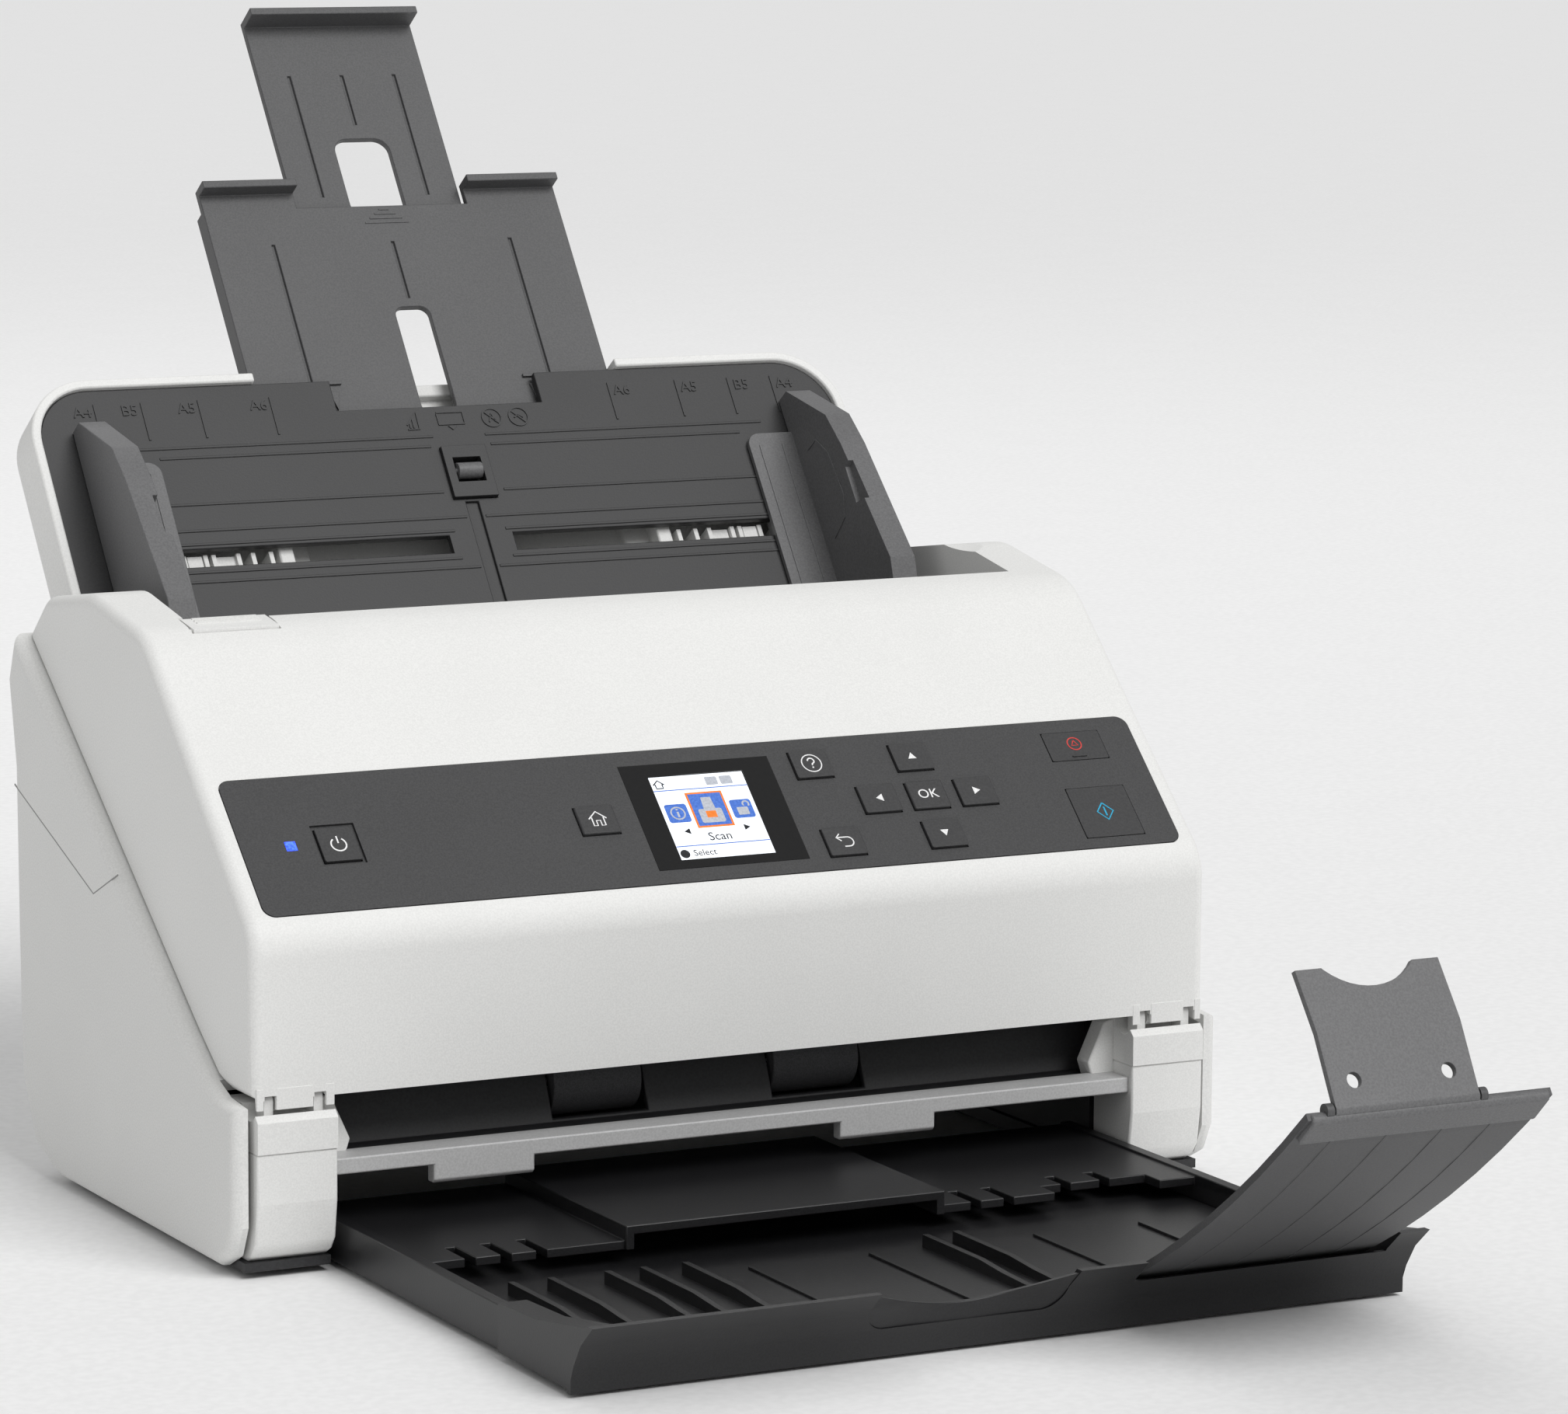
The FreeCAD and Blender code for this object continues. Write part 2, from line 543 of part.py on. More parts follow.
def make_posts():
    """The front posts: a lower block that curves under, and an upper block that carries the cover's hinge."""
    outline = [("-1", "post_split"), ("-1", "20"), ("0.5", "9.5"), ("3", "6"),
               ("6.5", "pan_bottom + floor_thickness"),
               ("post_depth", "pan_bottom + floor_thickness"), ("post_depth", "post_split")]
    lower = slab("post_lower", outline, ("post_inner", "post_outer"))
    node("right_pillar", lower)
    node("left_pillar", mirrored("post_lower_left", lower))
    cap = slab("cap_block",
               [("-1.4", "post_split"), ("post_depth", "post_split"), ("post_depth", "post_top"),
                ("2.4", "post_top"), ("-1.4", "post_top - 3.6")], ("post_inner", "post_outer"))
    trench = rod("cap_trench", ("post_inner - 1", "post_outer + 1"), "hinge_y", "hinge_z",
                 "knuckle_radius + 2.2")
    lugs = []
    for place in (3, 16.9):
        span = (f"post_inner + {place}", f"post_inner + {place} + 2.6")
        lugs.append(rod(f"cap_lug_{place}", span, "hinge_y", "hinge_z", "knuckle_radius"))
        lugs.append(box(f"cap_stem_{place}", span, ("hinge_y - knuckle_radius", "hinge_y + knuckle_radius"),
                        ("post_split + 5", "hinge_z")))
    pin = rod("cap_pin", ("post_inner + 5", "post_inner + 17.5"), "hinge_y", "hinge_z", "hinge_pin_radius")
    right = fuse("cap_right", cut("cap_hollow", cap, trench), *lugs, pin)
    node("right_hinge_cap", right)
    node("left_hinge_cap", mirrored("cap_left", right))


def make_exit():
    """The light bar under the exit slot with its two stepped tabs, and the dark wall behind the slot."""
    low = "bar_top - bar_height"
    solids = [box("bar_rail", both_ways("post_inner"), ("0.8", "11"), (low, "bar_top"))]
    for left in (-91, 29):
        solids.append(slab(f"bar_tab{left}", [("0.8", "bar_top - 1"), ("0.8", f"{low} - tab_drop + 1"),
                                              ("1.8", f"{low} - tab_drop"), ("5", f"{low} - tab_drop"),
                                              ("5", "bar_top - 1")], (f"{left}", f"{left + 29}")))
    node("exit_guide_bar", fuse("bar_body", *solids))
    panel = slab("exit_wall", [("11.4", "29"), ("11.4", "28"), ("22", "28"), ("27", "38.5"),
                               ("30.5", "45.2"),
                               ("28.5", "46.4"), ("25", "39.6"), ("20.6", "29")], both_ways("post_inner"))
    windows = []
    for side in ("-1", "1"):
        middle = f"{side} * tyre_offset"
        windows.append(box(f"exit_wall_window{side}",
                           (f"{middle} - tyre_width / 2 - 1.2", f"{middle} + tyre_width / 2 + 1.2"),
                           ("15", "40"), ("29.8", "60")))
    node("exit_panel", cut("exit_wall_body", panel, *windows))


def make_feet_and_screws():
    feet = []
    for x in ("-1", "1"):
        for front in (14, 98):
            pad = box(f"foot{x}_{front}", (f"{x} * 130 - 9", f"{x} * 130 + 9"),
                      (f"{front}", f"{front + 26}"),
                      ("0", "pan_bottom"))
            feet.append(rounded(f"foot_soft{x}_{front}", pad, 4.0, lambda edge: runs_along(edge, "z")))
    node("rubber_feet", group("feet_group", *feet))
    screws = []
    for x in ("-130", "130"):
        for y in ("52", "86"):
            head = post(f"screw_head{x}_{y}", x, y, ("0.4", "pan_bottom"), "3.2")
            slots = [box(f"screw_slot_a{x}_{y}", (f"{x} - 1.9", f"{x} + 1.9"),
                         (f"{y} - 0.45", f"{y} + 0.45"), ("0", "0.9")),
                     box(f"screw_slot_b{x}_{y}", (f"{x} - 0.45", f"{x} + 0.45"),
                         (f"{y} - 1.9", f"{y} + 1.9"), ("0", "0.9"))]
            screws.append(cut(f"screw{x}_{y}", head, *slots))
    node("case_screws", group("screw_group", *screws))


# ---------------------------------------------------------------- front cover

def cover_shell():
    """The cover's rounded outside, hollowed out, with the paper entry cut between its cheeks."""
    slope_foot = SLOPE_LINE.format(y="0")
    slope_top = SLOPE_LINE.format(y="crest")
    half = "cover_width / 2"
    block = slab("cover_block",
                 [("0", "cover_bottom"), ("0", slope_foot), ("crest", slope_top), ("112", "cheek_top"),
                  ("146", "cheek_top - 5"), ("cheek_depth", "cheek_rear"), ("knee_depth", "knee_height"),
                  ("22", "51"), ("12", "cover_bottom")], both_ways(half))
    corners = [line.StartPoint for line in doc.getObject("cover_block_outline").Geometry]

    def at_corner(index):
        return lambda edge: (runs_along(edge, "x") and abs(edge.BoundBox.Center.y - corners[index].x) < 0.01
                             and abs(edge.BoundBox.Center.z - corners[index].y) < 0.01)

    rolled = rounded("cover_rolled", block, size("roll_radius"), at_corner(1))
    crest = rounded("cover_crest", rolled, 24.0, at_corner(2))
    crown = rounded("cover_crown", crest, 24.0, at_corner(3))
    back = rounded("cover_back", crown, 9.0, at_corner(4))
    rise = (size("cheek_rear") - size("knee_height")) / (size("cheek_depth") - size("knee_depth"))

    def on_side_rim(edge):
        middle = edge.BoundBox.Center
        parting = size("knee_height") + max(middle.y - size("knee_depth"), -30) * rise
        on_side = abs(abs(middle.x) - size("cover_width") / 2) < 1e-3 and edge.BoundBox.XLength < 1e-3
        return on_side and middle.z > parting + 3

    soft = rounded("cover_soft", back, size("cover_edge"), on_side_rim)
    hopper = slab("hopper", [("crest + 10", "200"), ("crest + 10", slope_top + " - 0.5"),
                             ("throat_depth", "throat_height"),
                             ("throat_depth", "60"), ("190", "60"), ("190",
                                                                     "200")], both_ways("hopper_half"))
    room = slab("front_room",
                [("wall", "30"), ("wall", slope_foot + " - 1.4"),
                 ("crest - 2", slope_top + " - 2 * wall"), ("crest + 6", slope_top + " - 2 * wall"),
                 ("throat_depth - wall - 0.5", "throat_height - 1"), ("throat_depth - wall - 0.5", "60"),
                 ("60", "30")], both_ways(f"{half} - wall"))
    cheek = [("wall", "30"), ("wall", slope_foot + " - 1.4"), ("crest", slope_top + " - 2 * wall"),
             ("112", "cheek_top - wall - 1"), ("144", "cheek_top - 5 - wall - 0.6"),
             ("cheek_depth - wall - 2.4", "cheek_rear - 1.5"), ("cheek_depth - wall - 2.4", "60"),
             ("60", "30")]
    rooms = [slab("cheek_room_right", cheek, ("hopper_half + wall", f"{half} - wall")),
             slab("cheek_room_left", cheek, (f"-{half} + wall", "-hopper_half - wall"))]
    return cut("cover_hollow", soft, hopper, room, *rooms)


def make_front_cover():
    """The whole upper front of the machine, hinged along its lower edge."""
    solids = [cover_shell(),
              box("cover_lip", both_ways("cover_width / 2 - wall"), ("wall - 0.5", "post_depth - 0.5"),
                  ("cover_bottom", "cover_bottom + 2"))]
    ways = []
    for side in ("-1", "1"):
        middle = f"{side} * (post_inner + 11.25)"
        solids.append(rod(f"cover_knuckle{side}", (f"{middle} - 5", f"{middle} + 5"), "hinge_y", "hinge_z",
                          "knuckle_radius"))
        ways.append(rod(f"pin_way{side}", (f"{middle} - 6.4", f"{middle} + 6.4"), "hinge_y", "hinge_z",
                        "hinge_pin_radius + running_fit"))
        for place in (4.3, 18.2):
            spot = f"{side} * (post_inner + {place})"
            ways.append(rod(f"lug_way{side}_{place}", (f"{spot} - 1.8", f"{spot} + 1.8"), "hinge_y",
                            "hinge_z",
                            "knuckle_radius + 2.2"))
        rib_top = SLOPE_LINE.format(y="{y}") + " - 2"
        rib_foot = "path_gap + plate_thickness"
        low_edge = [(y, path_height(y, rib_foot)) for y in ("62", "72")]
        high_edge = [(y, rib_top.format(y=y)) for y in ("72", "62")]
        span = (f"{side} * 106 - 1.5", f"{side} * 106 + 1.5")
        solids.append(slab(f"cover_rib{side}", low_edge + high_edge, span))
    recess = box("panel_recess", both_ways("panel_width / 2 + 0.2"), ("-0.2", "panel_height + 0.2"),
                 ("panel_proud - panel_thickness", "8"))
    ways.append(in_frame("panel_recess_way", rounded("recess_soft", recess, size("panel_corner"),
                                                     lambda edge: runs_along(edge, "z")), "panel"))
    ways.append(in_frame("panel_window_way", box("panel_window", both_ways("panel_width / 2 - 5"),
                                                 ("1.6", "panel_height - 2"), ("-9", "8")), "panel"))
    crest_top = SLOPE_LINE.format(y="crest")
    ways.append(box("lever_way", ("-127.5", "-102"), ("crest + 1.2", "crest + 12"),
                    (crest_top + " - 3.3", "190")))
    ways.append(rod("lever_pin_way", ("-128.3", "-101"), "crest + 3.6", crest_top + " - 0.8",
                    "1 + running_fit"))
    node("front_cover", cut("cover_body", fuse("cover_set", *solids), *ways))
    lever = slab("lever_pad",
                 [("crest + 1.6", crest_top + " - 1.9"), ("crest + 11.6", crest_top + " - 0.3"),
                  ("crest + 11.6", crest_top + " + 1.9"), ("crest + 1.6", crest_top + " + 0.4")],
                 ("-127", "-102.5"))
    ridges = [box(f"lever_ridge{row}", ("-124", "-105.5"),
                  (f"crest + {6.6 + 1.8 * row}", f"crest + {7.4 + 1.8 * row}"),
                  (crest_top, crest_top + f" + {1.6 + 0.28 * row}")) for row in range(3)]
    pin = rod("lever_pin", ("-128.2", "-101.2"), "crest + 3.6", crest_top + " - 0.8", "1")
    node("release_lever", fuse("lever_body", lever, pin, *ridges))


# Keys: name, place across and up the panel, width and height, height above the panel.
SMALL = ("key_width", "key_height")
FLUSH = "0.15"
KEYS = [
    ("power_key", "-109.6", "21.5", ("10.6", "10.9"), FLUSH),
    ("home_key", "-34.7", "arrow_y + 0.2", SMALL, "key_proud"),
    ("help_key", "34.4", "arrow_y + key_row", SMALL, "key_proud"),
    ("back_key", "34.4", "arrow_y - key_row", SMALL, "key_proud"),
    ("up_key", "arrow_x", "arrow_y + key_row", SMALL, "key_proud"),
    ("left_key", "arrow_x - key_pitch", "arrow_y", SMALL, "key_proud"),
    ("ok_key", "arrow_x", "arrow_y", SMALL, "key_proud"),
    ("right_key", "arrow_x + key_pitch", "arrow_y", SMALL, "key_proud"),
    ("down_key", "arrow_x", "arrow_y - key_row", SMALL, "key_proud"),
    ("stop_key", "side_key_x", "35.4", ("18", "9.8"), FLUSH),
    ("start_key", "side_key_x", "12.1", ("18.3", "17.2"), FLUSH),
]


def make_panel():
    """The control panel with its keys, display and status light, drawn flat in the panel's frame."""
    under = "panel_proud - panel_thickness"
    plate = box("panel_plate", both_ways("panel_width / 2"), ("0", "panel_height"), (under, "panel_proud"))
    soft = rounded("panel_soft", plate, size("panel_corner"), lambda edge: runs_along(edge, "z"))
    ways = []
    for name, x, y, (width, height), proud in KEYS:
        ways.append(box(name + "_way", (f"{x} - {width} / 2 - 0.15", f"{x} + {width} / 2 + 0.15"),
                        (f"{y} - {height} / 2 - 0.15", f"{y} + {height} / 2 + 0.15"), ("-9", "9")))
        cap = box(name + "_cap", (f"{x} - {width} / 2", f"{x} + {width} / 2"),
                  (f"{y} - {height} / 2", f"{y} + {height} / 2"), (f"{under} - 1.1",
                                                                   f"panel_proud + {proud}"))
        crown = rounded(name + "_crown", cap, 0.6, lambda edge: runs_along(edge, "z"))
        flange = box(name + "_flange",
                     (f"{x} - {width} / 2 - key_flange", f"{x} + {width} / 2 + key_flange"),
                     (f"{y} - {height} / 2 - key_flange", f"{y} + {height} / 2 + key_flange"),
                     (f"{under} - 1.1", f"{under} - 0.1"))
        node(name, fuse(name + "_body", crown, flange), "panel")
    bezel_x = ("screen_x - bezel_width / 2", "screen_x + bezel_width / 2")
    bezel_y = ("4.4", "4.4 + bezel_height")
    screen_x = ("screen_x - 0.8 - screen_size / 2", "screen_x - 0.8 + screen_size / 2")
    screen_y = ("7.3", "7.3 + screen_size")
    ways.append(box("bezel_way", bezel_x, bezel_y, ("-9", "9")))
    ways.append(box("power_dish", ("-109.6 - 6.2", "-109.6 + 6.2"), ("21.5 - 6.6", "21.5 + 6.6"),
                    ("panel_proud - 0.8", "9")))
    ways.append(box("led_way", ("-124.3", "-121.3"), ("20.5", "23.5"), ("-9", "9")))
    node("control_panel", cut("panel_body", soft, *ways), "panel")
    bezel = box("bezel_plate", bezel_x, bezel_y, (under, "panel_proud + 0.1"))
    node("lcd_bezel", cut("bezel_body", bezel, box("screen_way", screen_x, screen_y, ("-9", "9"))), "panel")
    node("lcd_screen", box("screen_plate", screen_x, screen_y, (under, "panel_proud - 0.1")), "panel")
    led = box("led_block", ("-124.3", "-121.3"), ("20.5", "23.5"), (under, "panel_proud + 0.05"))
    node("status_led", led, "panel")


# ---------------------------------------------------------------- input tray

def top_corners(edge):
    return runs_along(edge, "z") and edge.BoundBox.YMin > 0


def make_tray():
    """The fixed input tray: a white shell, the dark paper plate in it, and the paper detector."""
    half = "tray_half"
    shell = rounded("shell_soft", box("shell_block", both_ways(half), ("-tray_cheek", "tray_top"),
                                      ("-tray_depth + 1.5", "1.5")),
                    size("tray_corner"), top_corners)
    neck = box("shell_neck", both_ways("121"), ("-80", "-tray_cheek + 1"), ("-6", "-2.2"))
    lugs = [box("shell_lug_left", ("-119", "-116"), ("-98", "-tray_cheek + 1"), ("-6", "-3")),
            box("shell_lug_right", ("116", "119"), ("-98", "-tray_cheek + 1"), ("-6", "-3"))]
    seat = rounded("seat_soft",
                   box("seat", both_ways(f"{half} - tray_rim"),
                       ("-tray_neck - 20", "tray_top - tray_rim"), ("-2.2", "4")),
                   size("tray_corner") - size("tray_rim"), top_corners)
    ways = [seat, box("extension_way", both_ways("ext_half + 0.5"), ("-60.5", "tray_top + 2"),
                      ("-9.6", "4")),
            box("extension_room", both_ways("50"), ("-58", "tray_top - 4"), ("-12.5", "-3"))]
    for name, x in (("left", (f"-{half} + tray_rim", "-62")), ("right", ("62", f"{half} - tray_rim"))):
        ways.append(box(f"shell_room_{name}", x, ("-59.5", "-14"), ("-12.5", "0")))
    for name, x in (("left", ("-63", "-57")), ("right", ("57", "63"))):
        ways.append(box(f"stem_way_{name}", x, ("-55.6", "-45.7"), ("-3.3", "0")))
    node("input_tray_shell", cut("shell_body", fuse("shell_set", shell, neck, *lugs), *ways), "tray")

    wide = rounded("plate_soft",
                   box("plate_wide", both_ways(f"{half} - tray_rim - 0.2"),
                       ("-61", "tray_top - tray_rim - 0.2"), ("-2.2", "0")),
                   size("tray_corner") - size("tray_rim"), top_corners)
    narrow = box("plate_narrow", both_ways("118.8"), ("-plate_bottom", "-60"), ("-2.2", "0"))
    cuts = [box("plate_notch", ("-34", "31"), ("-5", "12"), ("-9", "9")),
            box("detector_way", ("-5.6", "8.4"), ("-36", "-19"), ("-9", "9")),
            box("plate_channel", ("-2", "2"), ("-90", "-37"), ("-1", "9"))]
    for name, x in (("left", ("-100", "-10")), ("right", ("10", "100"))):
        cuts.append(box(f"guide_slot_{name}", x, ("-53.5", "-47.8"), ("-9", "9")))
    node("input_tray_plate", cut("plate_body", fuse("plate_set", wide, narrow), *cuts), "tray")

    block = box("detector_block", ("-5.6", "8.4"), ("-36", "-19"), ("-3", "1.4"))
    pocket = box("detector_pocket", ("-3", "5.8"), ("-31", "-23"), ("-2.6", "9"))
    bore = rod("detector_bore", ("-4.6", "7.4"), "-27", "0.4", "0.8 + running_fit")
    node("detector_housing", cut("detector_body", block, pocket, bore), "tray")
    wheel = rod("detector_wheel", ("-2.4", "5.2"), "-27", "0.4", "2.4")
    axle = rod("detector_axle", ("-4.5", "7.3"), "-27", "0.4", "0.8")
    node("detector_roller", fuse("detector_roller_body", wheel, axle), "tray")


def make_extensions():
    front, back = "ext_front", "ext_front - ext_thickness"
    solids = [box("ext_sheet", both_ways("ext_half"), ("-8", "66"), (back, front))]
    cuts = [rounded("ext_slot", box("ext_slot_block", both_ways("5.5"), ("-5", "31"), ("-20", "9")),
                    3, lambda edge: runs_along(edge, "z"))]
    for side, sign in (("left", "-1"), ("right", "1")):
        for part, low, high, y, z in (("tab", 27.4, 57, ("65", "ext_top"), (back, front)),
                                      ("hook", 27.4, 57, ("ext_top - 2.4", "ext_top"), (back, "1.2")),
                                      ("rail", 51, 57, ("-8", "66"), ("-9.2", front)),
                                      ("rib", 27.4, 30, ("-8", "66"), ("-9.2", front))):
            limits = (str(low), str(high)) if side == "right" else (str(-high), str(-low))
            solids.append(box(f"ext_{part}_{side}", limits, y, z))
        cuts.append(box(f"ext_groove_{side}", (f"{sign} * 38 - 0.5", f"{sign} * 38 + 0.5"), ("7", "53.6"),
                        (f"{front} - 0.8", "9")))
    cuts.append(box("ext_groove_middle", both_ways("0.5"), ("34", "53.6"), (f"{front} - 0.8", "9")))
    node("tray_extension", cut("ext_body", fuse("ext_set", *solids), *cuts), "tray")

    near, far = f"{back} - 0.3", f"{back} - 2.4"
    solids = [box("sub_sheet", both_ways("sub_half"), ("50", "sub_top - 8"), (far, near)),
              box("sub_hook", both_ways("sub_half"), ("sub_top - 10", "sub_top"), (far, near)),
              box("sub_lip", both_ways("sub_half"), ("sub_top - 2.4", "sub_top"), (far, "1.2"))]
    cuts = [rounded("sub_window", box("sub_window_block", both_ways("8.8"), ("64", "91"), ("-20", "9")),
                    4.5, lambda edge: runs_along(edge, "z")),
            box("sub_groove_middle", both_ways("0.5"), ("96", "113.6"), (f"{near} - 0.8", "9"))]
    for sign in ("-1", "1"):
        cuts.append(box(f"sub_groove{sign}", (f"{sign} * 17 - 0.5", f"{sign} * 17 + 0.5"), ("71", "113.6"),
                        (f"{near} - 0.8", "9")))
    node("tray_sub_extension", cut("sub_body", fuse("sub_set", *solids), *cuts), "tray")


def make_guides():
    """The right edge guide: a wall, a foot under the paper, and a stem in the plate's slot."""
    wall = slab("guide_wall_block", [("-8.5", "0.3"), ("-8.5", "6"), ("-27", "23.5"), ("-39", "27"),
                                     ("-61", "31"),
                                     ("-81.5", "34.5"), ("-89", "32"), ("-89", "6"), ("-86", "0.3")],
                ("guide_face", "guide_face + guide_wall"))
    scoop = slab("guide_scoop", [("-42", "40"), ("-46", "25.5"), ("-58", "25.5"), ("-62", "40")],
                 ("guide_face - 1", "guide_face + 1.6"))
    foot = box("guide_foot_block", ("guide_face - guide_foot", "guide_face + 1"), ("-84", "-20"),
               ("0.3", "1.8"))
    soft = rounded("guide_foot_soft", foot, 4.0,
                   lambda edge: runs_along(edge, "z") and edge.BoundBox.XMax < size("guide_face"))
    stem = box("guide_stem", ("guide_face - 14.4", "guide_face - 9.4"), ("-53", "-48.3"), ("-2.9", "1"))
    toe = box("guide_toe", ("guide_face - 14.4", "guide_face - 9.4"), ("-55", "-46.3"), ("-2.9", "-2.4"))
    right = fuse("guide_right", cut("guide_wall_cut", wall, scoop), soft, stem, toe)
    node("right_edge_guide", right, "tray")
    node("left_edge_guide", mirrored("guide_left", right), "tray")


# ---------------------------------------------------------------- output tray

def on_side(sign, near, far):
    """Limits across the machine for a pair of distances from the middle plane."""
    return (near, far) if sign > 0 else (f"-({far})", f"-({near})")


def make_output_tray():
    """The first stage of the output tray: two rails joined by a plate with a raised middle."""
    top = "out_bottom + rail_height"
    solids = [box("out_plate", both_ways("rail_half - 3"), ("plate_front", "out_rear"), ("9.6", "12")),
              box("out_plateau", ("plateau_left", "plateau_right"), ("plate_front - 1", "out_rear"),
                  ("9.6", "16"))]
    for sign in (-1, 1):
        solids.append(box(f"out_rail{sign}", on_side(sign, "rail_half - 3.6", "rail_half"),
                          ("out_front", "out_rear"),
                          ("out_bottom", top)))
        solids.append(box(f"out_ledge{sign}", on_side(sign, "rail_half - 8.6", "rail_half - 3"),
                          ("out_front", "out_rear"),
                          ("out_bottom", "3.4")))
        solids.append(box(f"out_tongue{sign}",
                          on_side(sign, "rail_half - 1", "frame_half - frame_wall + 1.4"),
                          ("21", "out_rear"), ("6", "8")))
    cuts = [box("plateau_room", ("plateau_left + 2.4", "plateau_right - 2.4"),
                ("plate_front - 2", "out_rear - 3"), ("5", "13.6")),
            box("right_step", ("69.6", "102"), ("plate_front - 3", "plate_front + 8"), ("5", "14"))]
    for left in (-103, -93, -83, 44, 54, 76, 88):
        back = "plate_front + 17" if left > 70 else "plate_front + 13"
        cuts.append(box(f"out_slot{left}", (f"{left}", f"{left + 3}"), ("plate_front - 3", back),
                        ("5", "14")))
    node("output_tray", cut("out_body", fuse("out_set", *solids), *cuts))


def make_output_extension():
    """The second stage: floor, side shells over the first stage's rails, hollow-faced front wall and ribs."""
    front_line = [("lip_front", "0.6"), ("lip_front", "4.4"), ("lip_front - 1.5", "8"),
                  ("lip_front - 5.5", "14"),
                  ("crown_front", "crown_height")]
    floor = box("slide_floor", both_ways("rail_half - 4.2"), ("lip_front + 1", "floor_rear"), ("3.8", "5.8"))
    rear_line = [("crown_front + 2.6", "crown_height"), ("lip_front - 3.4", "13.2"), ("lip_front + 0.6", "7.4"),
                 ("lip_front + 2.2", "4"), ("lip_front + 2.2", "0.6")]
    solids = [floor, slab("slide_front", front_line + rear_line, both_ways("out_half"))]
    side = front_line + [("lip_front + 4", "crown_height - 2.4"), ("-120", "14.8"), ("-98", "14"),
                         ("-98", "1.6"),
                         ("lip_front + 2", "1.6")]
    cuts = []
    for sign in (-1, 1):
        solids.append(slab(f"slide_side{sign}", side, on_side(sign, "rail_half - 6", "out_half")))
        cuts.append(box(f"rail_way{sign}", on_side(sign, "rail_half - 4", "rail_half + 0.4"),
                        ("-137", "-90"),
                        ("0", "out_bottom + rail_height + 0.4")))
        cuts.append(box(f"ledge_way{sign}", on_side(sign, "rail_half - 10", "rail_half - 3"),
                        ("-137", "-90"), ("0", "3.8")))
    rib = [("-62", "5.4"), ("-62", "9.2"), ("-92", "9.2"), ("-104", "8.3"), ("-116", "7.9"),
           ("-128", "8.4"), ("-136.6", "9.4"), ("-141", "13"), ("crown_front + 2", "crown_height"),
           ("lip_front - 4.6", "13.4"), ("lip_front", "8"), ("lip_front + 2", "5.4")]
    for left in (-99, -88, -72, -62, -50, 20, 29):
        solids.append(slab(f"slide_rib{left}", rib, (f"{left}", f"{left} + 1.8")))
    cuts.append(rounded("finger_way", box("finger_block", ("-40", "16"), ("-160", "-130"), ("8", "30")),
                        6, lambda edge: runs_along(edge, "y")))
    cuts.append(box("stopper_gap", ("stopper_left - 2.2", "stopper_right + 2.2"), ("-160", "-134"),
                    ("13.4", "30")))
    shell = cut("slide_shell", fuse("slide_set", *solids), *cuts)
    lugs = []
    for name, x in (("left", ("stopper_left - 1.8", "stopper_left - 0.3")),
                    ("right", ("stopper_right + 0.3", "stopper_right + 1.8"))):
        lugs.append(rod(f"stopper_lug_{name}", x, "stopper_y", "stopper_z", "2.4"))
        lugs.append(box(f"stopper_stem_{name}", x, ("stopper_y - 2.4", "stopper_y + 2.4"),
                        ("5", "stopper_z")))
    pin = rod("stopper_pin", ("stopper_left - 1", "stopper_right + 1"), "stopper_y", "stopper_z", "1.2")
    node("output_tray_extension", fuse("slide_body", shell, *lugs, pin))


def make_stopper():
    """The curved stopper and the small one hinged at its top edge."""
    steps = [step / 8 for step in range(9)]
    hollow = [(f"stopper_length * {share}", f"stopper_sag * {4 * share * (1 - share)}") for share in steps]
    outside = [(y, f"{z} + stopper_skin") for y, z in reversed(hollow)]
    width = ("stopper_left", "stopper_right")
    skin = slab("stopper_skin_block", hollow + outside, width)
    barrel = rod("stopper_barrel", width, "0", "0", "2.4")
    rims = []
    for name, x in (("left", ("sub_left - 2.4", "sub_left - 0.4")),
                    ("right", ("sub_right + 0.4", "sub_right + 2.4"))):
        rims.append(rod(f"sub_lug_{name}", x, "stopper_length", "0", "1.9"))
    ways = [rod("stopper_bore", ("stopper_left - 1", "stopper_right + 1"), "0", "0", "1.2 + running_fit"),
            box("sub_gap", ("sub_left - 0.4", "sub_right + 0.4"),
                ("stopper_length - 2.4", "stopper_length + 5"), ("-5", "8"))]
    body = cut("stopper_cut", fuse("stopper_set", skin, barrel, *rims), *ways)
    pin = rod("sub_pin", ("sub_left - 2", "sub_right + 2"), "stopper_length", "0", "0.9")
    node("stopper", fuse("stopper_body", body, pin), "stopper")

    width = ("sub_left", "sub_right")
    bend = ("sub_lower + sub_upper * cos(sub_kink)", "-sub_upper * sin(sub_kink)")
    sheet = slab("sub_sheet_block",
                 [("0", "0"), ("sub_lower", "0"), bend, (bend[0], f"{bend[1]} + sub_thickness"),
                                     ("sub_lower", "sub_thickness"), ("0", "sub_thickness")], width)
    barrel = rod("sub_barrel", width, "0", "0", "1.9")
    ways = [rod("sub_bore", ("sub_left - 1", "sub_right + 1"), "0", "0", "0.9 + running_fit")]
    for x in ("sub_left + 7", "sub_right - 7"):
        ways.append(post(f"sub_hole_{x[4]}", x, "6.5", ("-5", "8"), "2"))
    node("sub_stopper", cut("sub_stopper_body", fuse("sub_stopper_set", sheet, barrel), *ways),
         "sub_stopper")


make_base_frame()
make_side_covers()
make_rear_cover()
make_electronics()
make_path_plates()
make_image_sensor("lower", -1)
make_image_sensor("upper", 1)
make_roller("exit", "0")
make_roller("transport", "transport_at")
make_roller("feed", "feed_at")
make_drive()
make_posts()
make_exit()
make_feet_and_screws()
make_front_cover()
make_panel()
make_tray()
make_extensions()
make_guides()
make_output_tray()
make_output_extension()
make_stopper()
doc.recompute()

